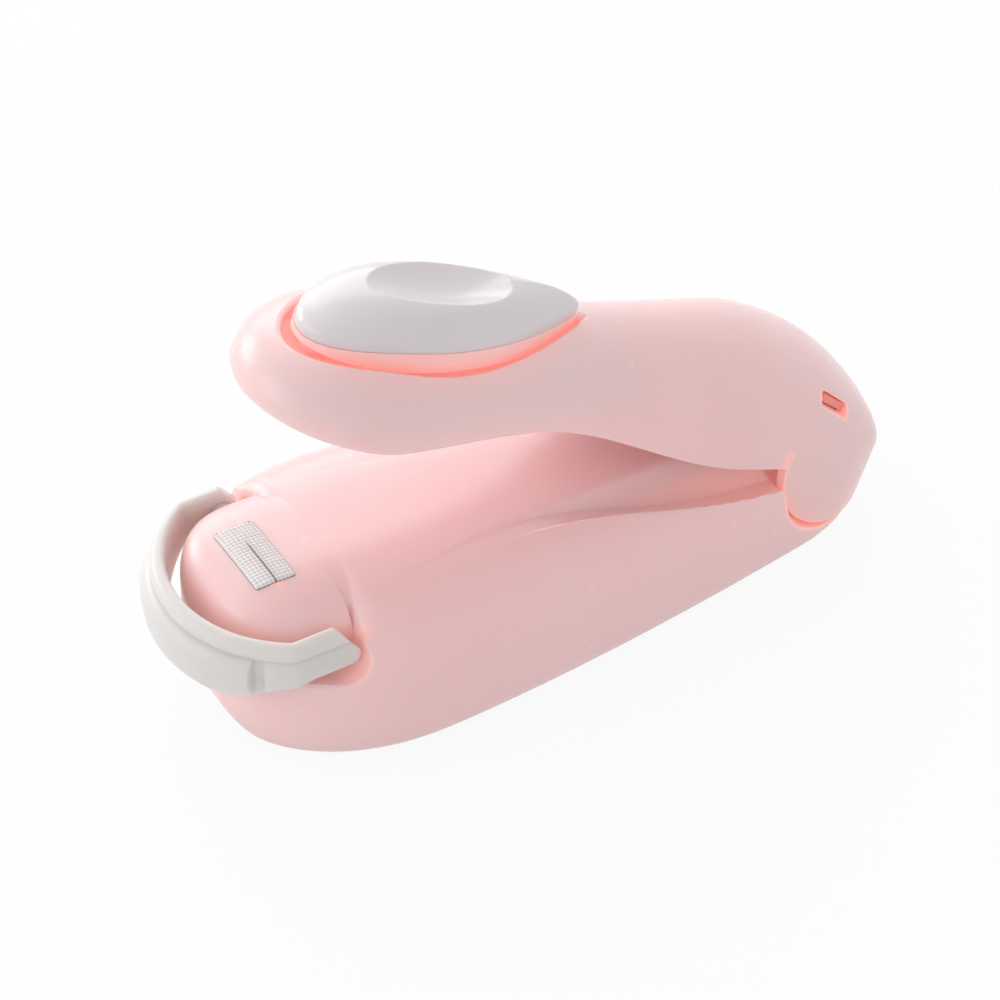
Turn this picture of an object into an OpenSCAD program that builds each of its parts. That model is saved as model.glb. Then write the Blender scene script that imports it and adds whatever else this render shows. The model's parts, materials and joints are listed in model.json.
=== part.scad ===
// Mini bag sealer: a battery-powered hand sealer with a hinged arm, a thumb button,
// a sprung heater under woven glass tape and a white safety bail round its head.
// Millimetres. X runs from the jaws (-X) to the hinge (+X), Y across, Z up from the table.
// The origin is on the table, under the middle of the overall length.

/* [Overall] */
// Length over the bail's crown and the arm's rear lobe
overall_len = 106; // [104:0.5:108]
// Wall of the moulded shells
wall = 1.6; // [1.4:0.1:1.8]

/* [Base] */
// Full width of the base at its belly
base_w = 43; // [42:0.2:44.6]
// Height of the belly above the table
belly_z = 9; // [8.5:0.1:9.5]
// Distance from the bail's front to the chin
chin_setback = 7; // [6.6:0.1:7.4]
// Distance from the lobe's rear to the tail
tail_setback = 2.8; // [2.4:0.1:3.2]
// Distance from the bail's front to the base's widest place
widest_setback = 31.3; // [30:0.1:33]
// Height of the deck just behind the head
deck_z0 = 22.4; // [22:0.1:22.8]
// How much the half width tapers from the widest place to the hinge
tail_taper = 7.8; // [7.4:0.1:8.2]
// Radius of the chin's underside seen from the side
chin_r = 3; // [2.4:0.1:3.6]

/* [Head] */
// Half width of the head inside the bail
head_half_w = 14; // [13.6:0.1:14.2]
// Distance from the bail's front to the head's front
head_setback = 5.8; // [5.4:0.1:6.2]
// Length of the head's rounded front in plan
head_round_len = 12.4; // [11:0.2:14]

/* [Bail] */
// Half width between the bail's arms
bail_half_w = 14.7; // [14.6:0.1:15]
// Radius of the crown in plan
crown_r = 17.3; // [16.5:0.1:18]
// Thickness of the crown at its grip
grip_t = 3.5; // [3.3:0.1:3.7]
// Height of the bail's top edge above the table
bail_top_z = 20.8; // [20.6:0.1:21]
// Height of the band at the arms
bail_band_h = 6.5; // [6.2:0.1:6.6]
// How far the grip lip hangs below the band
grip_drop = 3.9; // [3.5:0.1:4]
// Distance from the bail's front to its pivot
pivot_setback = 17; // [16.5:0.1:17.5]
// Height of the bail's pivot
pivot_z = 17.4; // [17.2:0.1:17.6]
// Radius of the round bay that the arm ends turn in
bay_r = 4.6; // [4.5:0.1:4.8]
// Distance from the pivot to the end of the bail's arm
bail_end = 3.2; // [3:0.1:3.6]
// Radius of the bail's trunnions
trunnion_r = 1.5; // [1.3:0.1:1.7]

/* [Arm] */
// How much shorter the arm's reach is than the distance from the hinge to the bail's front
nose_setback = 5.9; // [3.9:0.5:7.9]
// Half width of the nose
nose_half_w = 15.3; // [15:0.1:15.6]
// Half width of the neck
neck_half_w = 11; // [10.8:0.1:11.4]
// Half width where the ears begin
lobe_half_w = 13.9; // [13.7:0.1:14.2]
// Radius of the rear lobe about the hinge
lobe_r = 10.1; // [9.8:0.1:10.2]
// Crown of the arm's front above the hinge axis, in the arm's own frame
arm_crown = 15.7; // [15.4:0.1:16]
// Crown of the arm's rear above the hinge axis, in the arm's own frame
rear_crown = 15.1; // [14.9:0.1:15.4]
// Height of the skirt's edge under the nose, in the arm's own frame
edge_front = 4.8; // [4.6:0.1:5]
// Height of the skirt's edge in front of the ears, in the arm's own frame
edge_rear = -0.8; // [-1:0.1:-0.6]
// Height of the upright lip along the skirt's edge
skirt_lip = 1.2; // [0.8:0.1:1.6]
// Tilt of the arm when open, nose up
open_tilt = 21.5; // [20:0.5:22]
// Tilt of the arm when closed, and of the heater that it then faces
closed_tilt = 4; // [4:0.1:4.5]
// Length of the side windows
window_len = 5.2; // [4.6:0.1:5.4]
// Height of the side windows
window_h = 1.6; // [1.5:0.1:1.8]

/* [Hinge] */
// How far below the heater's top the closed arm's base line passes
hinge_drop = 5.1; // [4.7:0.1:5.2]
// Radius of the hinge pin
pin_r = 1.5; // [1.3:0.1:1.7]
// Outer radius of the hinge lugs
lug_r = 4.6; // [4.2:0.1:5]
// Thickness of each hinge lug
lug_t = 2.4; // [2.2:0.1:2.6]
// Distance of a lug's inner face from the middle
lug_in = 5.2; // [5.1:0.1:5.4]
// Thickness of the cradle's cheeks
cheek_t = 1.3; // [1.1:0.1:1.4]
// Wire radius of the torsion spring
torsion_wire_r = 0.45; // [0.4:0.05:0.5]
// Mean radius of the torsion spring
torsion_coil_r = 2.8; // [2.6:0.1:3]

/* [Button] */
// Distance from the nose to the front of the button's well
well_setback = 4; // [3.5:0.1:4.5]
// Length of the well
well_len = 44.5; // [43:0.5:45]
// Half width of the well
well_half_w = 9.5; // [9.2:0.1:9.8]
// Height of the well's floor, in the arm's own frame
well_floor = 11.2; // [11:0.1:11.4]
// Thickness of the well's floor
well_floor_t = 1; // [0.8:0.1:1.2]
// Gap between the well's wall and the button
well_gap = 1.2; // [1:0.1:1.4]
// Travel of the button
button_travel = 1.5; // [1.2:0.1:1.6]
// Height of the seam between carrier and cap, in the arm's own frame
cap_seam = 15.6; // [15.4:0.1:15.8]
// How far the seam falls towards the front of the button
seam_drop = 2.2; // [2:0.1:2.3]
// Height of the cap's upright skirt
cap_skirt_h = 1.6; // [1.2:0.1:2]
// Height of the cap's crown above its skirt
cap_crown_h = 5; // [4.6:0.1:5.4]
// Depth of the thumb dish
dish_depth = 2; // [1.6:0.1:2.4]
// Half length of the thumb dish
dish_half_len = 11; // [10:0.2:12]
// Half width of the thumb dish
dish_half_w = 5.3; // [4.8:0.1:5.8]
// Radius of the press stem
stem_r = 1.8; // [1.6:0.1:1.9]

/* [Heater] */
// Distance from the bail's front to the heater's middle
tape_setback = 14.3; // [14:0.1:14.6]
// Height of the tape's top at its middle
tape_z = 23.2; // [23.1:0.1:23.4]
// Width of the tape
tape_w = 5.7; // [5.4:0.1:6]
// Length of the tape between its folds
tape_len = 12; // [11.6:0.1:12.4]
// Thickness of the tape
tape_t = 0.35; // [0.3:0.05:0.4]
// Diameter of the resistance wire
wire_d = 0.4; // [0.3:0.05:0.5]
// Travel of the heater
heater_travel = 1; // [0.8:0.1:1.1]
// Thickness of the carriage's flange
flange_t = 1.6; // [1.4:0.1:1.8]
// Length of each carriage spring
carriage_spring_len = 8; // [7.6:0.1:8.4]

/* [Battery] */
// Diameter of a cell
cell_d = 10.4; // [10.2:0.1:10.5]
// Length of a cell with its button
cell_len = 44.5; // [44:0.1:44.8]
// Room for a cell's spring
cell_spring_len = 4.6; // [4.2:0.1:5]
// Distance from the bail's front to the front contact plane
bay_setback = 16.6; // [16.4:0.1:17]
// Thickness of the contact plates
plate_t = 0.4; // [0.3:0.1:0.5]
// Thickness of the battery cover
cover_t = 1.2; // [1:0.1:1.3]
// Thickness of the inner frame's walls
frame_t = 1.2; // [1:0.1:1.4]

/* [Clearances] */
// Gap round the covers and between parts that pass each other
part_gap = 0.3; // [0.25:0.05:0.4]
// Gap between the arm's lobe and its bay
ear_gap = 0.5; // [0.4:0.05:0.6]
// Radial play of a running pin
run_gap = 0.06; // [0.03:0.01:0.1]
// Gap between parts that lie against each other in one body
seat_gap = 0.05; // [0.02:0.01:0.1]
// Gap left between pad and tape when the button is fully pressed
pad_clear = 0.4; // [0.3:0.05:0.6]

/* [Hidden] */
$fn = 48;
// Distance that a cutter reaches past the face it opens
over = 1;
pink = [0.97, 0.80, 0.79];
white = [0.95, 0.95, 0.95];
grey = [0.55, 0.55, 0.56];
steel = [0.72, 0.72, 0.74];
brass = [0.80, 0.65, 0.32];

// Places that follow from the driving sizes
front_x = -overall_len / 2;
hinge_x = overall_len / 2 - lobe_r;
chin_x = front_x + chin_setback;
tail_x = overall_len / 2 - tail_setback;
widest_x = front_x + widest_setback;
pivot_x = front_x + pivot_setback;
tape_x = front_x + tape_setback;
bay_front_x = front_x + bay_setback;
hinge_z = tape_z - hinge_drop - (hinge_x - tape_x) * tan(closed_tilt);
arm_reach = hinge_x - front_x - nose_setback;
well_reach = arm_reach - well_setback;
tail_round_x = hinge_x - 7.4;
step_x = pivot_x + bay_r;
groove_z = pivot_z - bay_r;
head_front_x = front_x + head_setback;
head_round_x = head_front_x + head_round_len;
bay_edge_x = hinge_x - lobe_r - ear_gap;
cavity_rear_x = bay_edge_x - 2 * wall;
crown_x = front_x + grip_t;
crown_mid_x = crown_x + crown_r;
corner_angle = asin(bail_half_w / crown_r);
corner_x = crown_mid_x - crown_r * cos(corner_angle);
foot = 0.87;
// Height of the upright rim round the battery opening
rim_h = 0.2;

// Blends and rounded ends
function smooth(a, b, x) = let (t = max(0, min(1, (x - a) / (b - a)))) t * t * (3 - 2 * t);
function round_end(t, n) = t <= 0 ? 1 : pow(max(0, 1 - pow(min(t, 1), n)), 1 / n);
// Steps from nearly 1 down to 0, close together where a rounded end is steep
function end_steps(count) = [for (k = [0 : count]) 0.997 * sin(90 * (1 - k / count))];

// Closed skin through sections of equal point count, with flat ends
module skin(sections) {
    n = len(sections[0]);
    rows = len(sections);
    sides = [for (i = [0 : rows - 2], j = [0 : n - 1]) each [
        [i * n + j, i * n + (j + 1) % n, (i + 1) * n + (j + 1) % n],
        [i * n + j, (i + 1) * n + (j + 1) % n, (i + 1) * n + j]]];
    near = [for (j = [n - 1 : -1 : 0]) j];
    far = [for (j = [0 : n - 1]) (rows - 1) * n + j];
    polyhedron([for (s = sections) each s], concat([near], sides, [far]));
}

// A half outline, from low to high, made into a whole ring at one place along X
function ring(x, half) = concat(
    [for (p = half) [x, -p[0], p[1]]],
    [for (i = [len(half) - 1 : -1 : 0]) if (half[i][0] > 0) [x, half[i][0], half[i][1]]]);

// Quarter of a superellipse from the side (a = 0) to the top (a = 90)
function arch(w, low, top, n, count) = [for (k = [1 : count]) let (a = 90 * k / count)
    [k == count ? 0 : w * pow(cos(a), 2 / n), low + (top - low) * pow(sin(a), 2 / n)]];

// Base hull
function base_half(x) = x < widest_x
    ? base_w / 2 * round_end((widest_x - x) / (widest_x - chin_x), 2.2)
    : (base_w / 2 - tail_taper * pow((x - widest_x) / (hinge_x - widest_x), 1.6))
        * round_end((x - tail_round_x) / (tail_x - tail_round_x), 2.6);
function deck_z(x) = deck_z0 - (x - step_x) * tan(closed_tilt);
function hull_low(x) = x > chin_x + chin_r ? 0
    : chin_r - sqrt(max(0, chin_r * chin_r - pow(chin_x + chin_r - x, 2)));
function hull_half(x, inset, drop) =
    let (w = base_half(x) - inset, low = hull_low(x), n = 2.5)
    concat(drop > 0 ? [[w * foot, low - drop]] : [],
        [for (k = [0 : 5]) let (a = 18 * k, rim = k == 0 && drop > 0 ? rim_h : 0)
            [w * (foot + (1 - foot) * pow(sin(a), 2 / n)),
                low + rim + (belly_z - low) * (1 - pow(cos(a), 2 / n))]],
        arch(w, belly_z, deck_z(x) - inset, 3, 8));

hull_front = [for (t = end_steps(7)) widest_x - (widest_x - chin_x) * t];
hull_mid = [for (k = [1 : 6]) widest_x + (tail_round_x - widest_x) * k / 6];
hull_rear = [for (t = end_steps(6)) tail_x - (tail_x - tail_round_x) * (1 - t)];
hull_stations = concat(hull_front, hull_mid, [for (i = [len(hull_rear) - 2 : -1 : 0]) hull_rear[i]]);

module hull_solid() {
    skin([for (x = hull_stations) ring(x, hull_half(x, 0, 0))]);
}

cavity_front_x = chin_x + wall;
cavity_front = [for (t = end_steps(6)) widest_x - (widest_x - cavity_front_x) * t * 0.97];
cavity_mid = [for (k = [1 : 5]) widest_x + (cavity_rear_x - widest_x) * k / 5];

module hull_cavity() {
    skin([for (x = concat(cavity_front, cavity_mid)) ring(x, hull_half(x, wall, over))]);
}

// Head: the round-fronted dome inside the bail
function head_half(x, inset) = (head_half_w - inset)
    * round_end((head_round_x - x) / (head_round_x - head_front_x - inset), 2.3);
function head_sink(x) = 0.1 + 1.2 * smooth(step_x - 0.5, step_x + 3, x);
function head_top(x, inset) = groove_z + (deck_z(max(x, tape_x)) - head_sink(x) - groove_z - inset)
    * round_end((tape_x - x) / (tape_x - head_front_x - inset), 2.3);
function head_ring(x, inset, low) = let (w = head_half(x, inset), base = groove_z + wall)
    ring(x, concat([[w, low]], [[w, min(base, head_top(x, inset) - 0.2)]],
        arch(w, min(base, head_top(x, inset) - 0.2), head_top(x, inset), 2.6, 8)));
function head_stations(inset, rear_x) = let (tip = head_front_x + inset)
    concat([for (t = end_steps(8)) tape_x - (tape_x - tip) * t],
        [head_round_x, step_x - 0.5, step_x + 3, rear_x]);

module head_solid() {
    skin([for (x = head_stations(0, step_x + 8)) head_ring(x, 0.02, groove_z - wall)]);
}

module head_cavity() {
    skin([for (x = head_stations(wall, step_x + 5)) head_ring(x, wall, groove_z - 2 * wall)]);
}

// Bay that the bail's arms lie and turn in, seen from the side and carried across
module bail_bay(grow) {
    high = 2 * deck_z0;
    translate([pivot_x, 0, pivot_z])
        rotate([90, 0, 0])
            linear_extrude(2 * base_w, center = true) {
                circle(bay_r + grow);
                translate([-base_w, -bay_r - grow])
                    square([base_w, high]);
                translate([-base_w, 0])
                    square([base_w + bay_r + grow, high]);
            }
}

// Arm in its own frame: u along X from the hinge, v up
nose_u = -arm_reach;
nose_plan_len = 16.3;
nose_side_len = 17.6;
fall_u = -16.7;
// Distances behind the nose, and in front of the hinge, between which the arm changes its form
neck_from = 9.4;
neck_to = 41.7;
ridge_from = 28;
ridge_to = 54;
edge_from = 38;
edge_to = 17.5;
ears_from = 46;
ears_to = 11;
function arm_edge(u) = edge_front + (edge_rear - edge_front) * smooth(nose_u + edge_from, -edge_to, u);
function arm_half(u) = (neck_half_w
        + (nose_half_w - neck_half_w) * (1 - smooth(nose_u + neck_from, nose_u + neck_to, u))
        + (lobe_half_w - neck_half_w) * smooth(nose_u + ears_from, -ears_to, u))
    * round_end((nose_u + nose_plan_len - u) / nose_plan_len, 2.07)
    * round_end((u + 6) / (6 + lobe_r), 3);
function crown_at(u) =
    arm_crown + (rear_crown - arm_crown) * smooth(nose_u + ridge_from, nose_u + ridge_to, u);
function arm_power(u) = 2.13 - 0.16 * smooth(nose_u + ridge_from, nose_u + ridge_to, u);
function arm_top(u) = u < nose_u + nose_side_len
    ? edge_front + skirt_lip + (crown_at(u) - edge_front - skirt_lip)
        * round_end((nose_u + nose_side_len - u) / nose_side_len, 2.16)
    : crown_at(u) * round_end((u - fall_u) / (lobe_r - fall_u), 1.6);
function arm_low(u) = abs(u) < lobe_r
    ? min(arm_edge(u), -sqrt(lobe_r * lobe_r - u * u)) : arm_edge(u);

function arm_ring(u, inset, drop) =
    let (w = max(arm_half(u) - inset, 0.4), top = arm_top(u) - inset,
        spring = min(arm_edge(u) + skirt_lip, top - 0.2))
    ring(u, concat([[w, min(arm_low(u), spring - 0.2) - drop], [w, spring]],
        arch(w, spring, top, arm_power(u), 9)));
function arm_stations(inset) = concat(
    [for (t = end_steps(8)) nose_u + nose_side_len - (nose_side_len - inset) * t],
    [for (k = [1 : 9]) nose_u + nose_side_len + (arm_reach - nose_side_len - lobe_r - 0.6) * k / 9],
    [for (k = [0 : 11]) -0.995 * lobe_r * cos(180 * k / 11) * (k > 5 ? 1 - inset / lobe_r : 1)]);

module arm_outer() {
    skin([for (u = arm_stations(0)) arm_ring(u, 0, 0)]);
}

module arm_inner() {
    skin([for (u = arm_stations(wall)) arm_ring(u, wall, 4)]);
}

// Places what is drawn in the arm's frame at a tilt about the hinge
module arm_pose(tilt) {
    translate([hinge_x, 0, hinge_z])
        rotate([0, tilt, 0])
            children();
}

// Band that the skirt sinks into when the arm is closed
module arm_channel(grow) {
    front_u = nose_u + 40;
    rear_u = -8;
    stations = [for (k = [0 : 14]) front_u + (rear_u - front_u) * k / 14];
    gap = part_gap + grow;
    face_in = [for (u = stations) [u, arm_half(u) - wall - gap - 0.8 * smooth(-36, -22, u)]];
    face_out = [for (i = [len(stations) - 1 : -1 : 0]) [stations[i], arm_half(stations[i]) + gap]];
    edge = [for (u = stations) [u, arm_edge(u) - gap]];
    last = stations[len(stations) - 1];
    high = 2 * arm_crown;
    arm_pose(closed_tilt)
        intersection() {
            translate([0, 0, -arm_crown])
                linear_extrude(3 * arm_crown)
                    for (side = [0, 1])
                        mirror([0, side])
                            polygon(concat(face_in, face_out));
            rotate([90, 0, 0])
                linear_extrude(2 * base_w, center = true)
                    polygon(concat(edge, [[last, high], [stations[0], high]]));
        }
}

// Bay for the arm's ears and lobe
module ear_bay() {
    translate([hinge_x, 0, hinge_z])
        rotate([90, 0, 0])
            linear_extrude(2 * base_w, center = true) {
                circle(lobe_r + ear_gap);
                translate([-lobe_r - ear_gap, 0])
                    square([3 * lobe_r, 3 * lobe_r]);
            }
}

// One hinge lug, standing on the tail's floor
module hinge_lug() {
    foot_z = -lobe_r - ear_gap - over;
    translate([hinge_x, lug_in + lug_t, hinge_z])
        rotate([90, 0, 0])
            linear_extrude(lug_t) {
                circle(lug_r);
                polygon([[-lobe_r - ear_gap - over, foot_z + 3], [-lobe_r - ear_gap - over, 2],
                    [-2, lug_r - 0.5], [lug_r - 0.2, 0], [2, foot_z]]);
            }
}

// Heater frame: origin on the middle of the tape's top, tilted like the closed arm
module heater_pose() {
    translate([tape_x, 0, tape_z])
        rotate([0, closed_tilt, 0])
            children();
}

// Fall of the tape from its middle to the wire's bends
tape_fall = 0.35;
rib_top = -tape_t - wire_d - tape_fall;
flange_top = -4.8;
flange_low = flange_top - flange_t;
flange_half_len = 8;
flange_front = 2.9;
flange_rear = 4.6;
shelf_n = flange_low - carriage_spring_len;
carriage_spring_p = -1.1;
carriage_spring_q = 5;
carriage_spring_r = 1.3;
carriage_spring_wire_r = 0.25;
frame_screw_x = [bay_front_x + 22.4, bay_front_x + 40.4];
frame_screw_bite = 3;
cell_r = cell_d / 2;
cell_y = cell_r + part_gap;
cover_z = 0.2;
cell_z = cover_z + cover_t + 0.15 + cell_r;
bay_len = cell_len + cell_spring_len;
bay_rear_x = bay_front_x + bay_len;
spine_low = cell_z + cell_r + 0.3;
spine_t = 1.4;
spine_top = spine_low + spine_t;
spine_half_w = 3.2;
screw_r = 0.8;
screw_head_r = 1.6;
screw_head_h = 1.1;
frame_boss_r = 2.2;

module base_shell() {
    color(pink)
    difference() {
        union() {
            difference() {
                union() {
                    difference() {
                        hull_solid();
                        bail_bay(0);
                        arm_channel(0);
                        ear_bay();
                    }
                    head_solid();
                }
                difference() {
                    hull_cavity();
                    bail_bay(wall);
                    arm_channel(wall);
                }
                head_cavity();
            }
            for (side = [0, 1])
                mirror([0, side])
                    hinge_lug();
            for (x = frame_screw_x)
                translate([x, 0, spine_top + seat_gap])
                    cylinder(r = frame_boss_r, h = deck_z(x) - wall / 2 - spine_top);
        }
        heater_pose()
            translate([-tape_w / 2 - part_gap, -tape_len / 2 - part_gap, flange_top])
                cube([tape_w + 2 * part_gap, tape_len + 2 * part_gap, wall - flange_top]);
        translate([pivot_x, 0, pivot_z])
            rotate([90, 0, 0])
                cylinder(r = trunnion_r + run_gap, h = 2 * head_half_w + 2, center = true);
        translate([hinge_x, 0, hinge_z])
            rotate([90, 0, 0])
                cylinder(r = pin_r, h = 3 * lug_in + 3 * lug_t, center = true);
        for (x = frame_screw_x)
            translate([x, 0, spine_top - over])
                cylinder(r = screw_r + seat_gap, h = frame_screw_bite + 1 + over);
    }
}

frame_half_w = 11;
frame_low = cover_z + cover_t + part_gap;
frame_top = spine_low + part_gap;
frame_slope = 4.5;

// Wall across the bay, its upper corners sloped to follow the roof
module frame_wall(x) {
    translate([x, 0, 0])
        rotate([90, 0, 90])
            linear_extrude(frame_t)
                polygon([[-frame_half_w, frame_low], [frame_half_w, frame_low],
                    [frame_half_w, frame_top - frame_slope], [frame_half_w - frame_slope, frame_top],
                    [frame_slope - frame_half_w, frame_top], [-frame_half_w, frame_top - frame_slope]]);
}

module inner_frame() {
    color(grey)
    difference() {
        union() {
            frame_wall(bay_front_x - plate_t - seat_gap - frame_t);
            frame_wall(bay_rear_x + plate_t + seat_gap);
            translate([bay_front_x - plate_t - frame_t, -spine_half_w, spine_low])
                cube([bay_len + 2 * plate_t + 2 * frame_t, 2 * spine_half_w, spine_t]);
            heater_pose()
                translate([carriage_spring_p - 2, -carriage_spring_q - 2, shelf_n - frame_t])
                    cube([5.2, 2 * carriage_spring_q + 4, frame_t]);
            for (side = [-1, 1])
                heater_pose()
                    translate([carriage_spring_p, side * carriage_spring_q, shelf_n - frame_t / 2])
                        cylinder(r = 0.9, h = 2.5);
        }
        for (x = frame_screw_x)
            translate([x, 0, spine_low - over])
                cylinder(r = screw_r + run_gap, h = spine_t + 2 * over);
    }
}

// Pan-head screw pointing up, its head below the given plane
module screw(length) {
    translate([0, 0, -screw_head_h])
        difference() {
            cylinder(r = screw_head_r, h = screw_head_h);
            for (turn = [0, 90])
                rotate(turn)
                    translate([-screw_head_r * 0.65, -0.25, -over])
                        cube([screw_head_r * 1.3, 0.5, over + 0.5]);
        }
    cylinder(r = screw_r, h = length);
}

module frame_screws() {
    color(steel)
        for (x = frame_screw_x)
            translate([x, 0, spine_low])
                screw(spine_t + frame_screw_bite);
}

cover_stations = [for (k = [0 : 18]) cavity_front[1] + (cavity_rear_x - cavity_front[1]) * k / 18];

module battery_cover() {
    half = [for (x = cover_stations) [x, foot * (base_half(x) - wall) - part_gap]];
    back = [for (i = [len(half) - 1 : -1 : 0]) [half[i][0], -half[i][1]]];
    first = cover_stations[0] + part_gap;
    last = cover_stations[len(cover_stations) - 1] - part_gap;
    color(pink)
    difference() {
        intersection() {
            translate([0, 0, cover_z])
                linear_extrude(cover_t)
                    polygon(concat(half, back));
            translate([first, -base_w, -over])
                cube([last - first, 2 * base_w, 10]);
        }
        // Thumb grips
        for (k = [0 : 3])
            translate([last - 6 - 2 * k, -5, -over])
                cube([0.8, 10, over + cover_z + 0.5]);
    }
}

// A cell with its positive button towards -X
module cell() {
    color([0.35, 0.36, 0.38])
        rotate([0, 90, 0]) {
            translate([0, 0, 1])
                cylinder(r = cell_r, h = cell_len - 1);
            cylinder(r = 1.9, h = 1 + over);
        }
}

module cell_left() {
    translate([bay_front_x + seat_gap, cell_y, cell_z])
        cell();
}

module cell_right() {
    translate([bay_rear_x - seat_gap, -cell_y, cell_z])
        rotate([0, 0, 180])
            cell();
}

contact_half_w = 4;
contact_h = 8;

// Upright contact plate whose face is at x
module contact_plate(x, y) {
    translate([x, y - contact_half_w, cell_z - contact_h / 2])
        cube([plate_t, 2 * contact_half_w, contact_h]);
}

terminal_p = 1.2;
terminal_q = 7;
rivet_r = 0.8;
rivet_head_r = 1.3;
rivet_head_h = 0.5;

module front_contact() {
    color(brass) {
        contact_plate(bay_front_x - plate_t, cell_y);
        translate([bay_front_x - plate_t, cell_y + 1, cell_z + contact_h / 2 - 1])
            cube([plate_t, 2, spine_top - cell_z - contact_h / 2 + 1]);
    }
}

// Height of the lower face of a terminal's rivet at rest, and its place along X
rivet_n = flange_low - rivet_head_h;
rivet_x = tape_x + terminal_p * cos(closed_tilt) + rivet_n * sin(closed_tilt);
rivet_z = tape_z - terminal_p * sin(closed_tilt) + rivet_n * cos(closed_tilt);
blade_z = rivet_z - heater_travel - 2 * part_gap / 3;
blade_w = 1.5;
blade_out = 1.2;

module switch_contact() {
    color(brass) {
        contact_plate(bay_front_x - plate_t, -cell_y);
        translate([bay_front_x - plate_t, -terminal_q - blade_out, cell_z + contact_h / 2 - 1])
            cube([plate_t, blade_w, blade_z - cell_z - contact_h / 2 + 1]);
        translate([rivet_x - 1.4, -terminal_q - blade_out, blade_z - plate_t])
            cube([bay_front_x - rivet_x + 1.4, blade_w, plate_t]);
    }
}

module bridge_contact() {
    color(brass) {
        contact_plate(bay_rear_x, cell_y);
        contact_plate(bay_rear_x, -cell_y);
        translate([bay_rear_x, -cell_y, cell_z - 2])
            cube([plate_t, 2 * cell_y, 4]);
    }
}

// Tube of round section along points, with its ring planes square to the path
function unit(v) = v / norm(v);
function heading(path, i) = unit(path[min(i + 1, len(path) - 1)] - path[max(i - 1, 0)]);
function side_of(d, up) = unit(cross(up, d));
module tube(path, r, sides, up) {
    skin([for (i = [0 : len(path) - 1])
        let (d = heading(path, i), s = side_of(d, up), t = cross(d, s))
        [for (k = [0 : sides - 1]) path[i] + r * (cos(360 * k / sides) * s - sin(360 * k / sides) * t)]]);
}

// Coil about Z from z = 0 to z = height
function coil_path(radius, height, turns) = [for (k = [0 : 8 * turns])
    [radius * cos(45 * k), radius * sin(45 * k), height * k / (8 * turns)]];
function least_gap(path, r) = min([for (i = [0 : len(path) - 1], j = [i + 5 : 1 : len(path) - 1])
    norm(path[i] - path[j])]) - 2 * r;

module coil_spring(radius, height, turns, wire_r) {
    path = coil_path(radius, height - 2 * wire_r, turns);
    echo(str("least gap of the coil to itself: ", least_gap(path, wire_r)));
    translate([0, 0, wire_r])
        tube(path, wire_r, 6, [0, 0, 1]);
}

cell_spring_r = 2.6;
cell_spring_wire_r = 0.3;
cell_spring_turns = 3;

module cell_spring() {
    coil_spring(cell_spring_r, cell_spring_len - 3 * seat_gap, cell_spring_turns, cell_spring_wire_r);
}

module front_cell_spring() {
    color(steel)
        translate([bay_front_x + seat_gap, -cell_y, cell_z])
            rotate([0, 90, 0])
                cell_spring();
}

module rear_cell_spring() {
    color(steel)
        translate([bay_rear_x - seat_gap, cell_y, cell_z])
            rotate([0, -90, 0])
                cell_spring();
}

lead_r = 0.45;

module heater_lead() {
    path = [
        [bay_front_x + lead_r + seat_gap, cell_y + 2, spine_top - lead_r],
        [bay_front_x + 1.6, cell_y + 2.2, spine_top + 0.6],
        [bay_front_x + 1.4, cell_y + 2.4, spine_top + 1.2],
        [rivet_x + 0.9, terminal_q + 0.6, rivet_z - 1.7],
        [rivet_x, terminal_q, rivet_z - 0.9],
        [rivet_x, terminal_q, rivet_z - 2 * seat_gap]];
    color([0.75, 0.12, 0.1])
        tube(path, lead_r, 8, [0, 1, 0]);
}

pin_half_len = lug_in + lug_t + part_gap + cheek_t;

module hinge_pin() {
    color(steel)
        translate([hinge_x, 0, hinge_z])
            rotate([90, 0, 0])
                cylinder(r = pin_r - 0.005, h = 2 * pin_half_len, center = true);
}

torsion_turns = 4;
torsion_pitch = 1.6;
web_v = 5;
web_t = 1.2;
web_front = 6.6;
web_rear = 2.6;
cheek_in = lug_in + lug_t + part_gap;

// Coil round the pin, one leg under the cradle's web and one on the tail's floor
module hinge_spring() {
    leg_up = [0.3 - web_front, web_v - torsion_wire_r - 0.1];
    leg_up_base = [leg_up[0] * cos(open_tilt) + leg_up[1] * sin(open_tilt),
        leg_up[1] * cos(open_tilt) - leg_up[0] * sin(open_tilt)];
    leg_low = [-4, -lobe_r - ear_gap + torsion_wire_r + 0.6];
    half = torsion_turns * torsion_pitch / 2;
    coil = [for (k = [0 : 8 * torsion_turns]) let (a = 90 + 45 * k)
        [torsion_coil_r * cos(a), -half + torsion_pitch * k / 8, torsion_coil_r * sin(a)]];
    path = concat(
        [[leg_up_base[0], -half, leg_up_base[1]],
            [leg_up_base[0] * 0.5, -half, (leg_up_base[1] + torsion_coil_r) / 2]],
        coil,
        [[leg_low[0] * 0.7, half, torsion_coil_r], [leg_low[0] - 0.6, half, torsion_coil_r * 0.4],
            [leg_low[0] - 0.5, half, leg_low[1] / 2], [leg_low[0], half, leg_low[1]]]);
    echo(str("least gap of the torsion coil to itself: ", least_gap(coil, torsion_wire_r)));
    color(steel)
        translate([hinge_x, 0, hinge_z])
            tube(path, torsion_wire_r, 6, [0, 1, 0]);
}

rib_half_len = tape_len / 2 - tape_t - 3 * seat_gap - wire_d;

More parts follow.
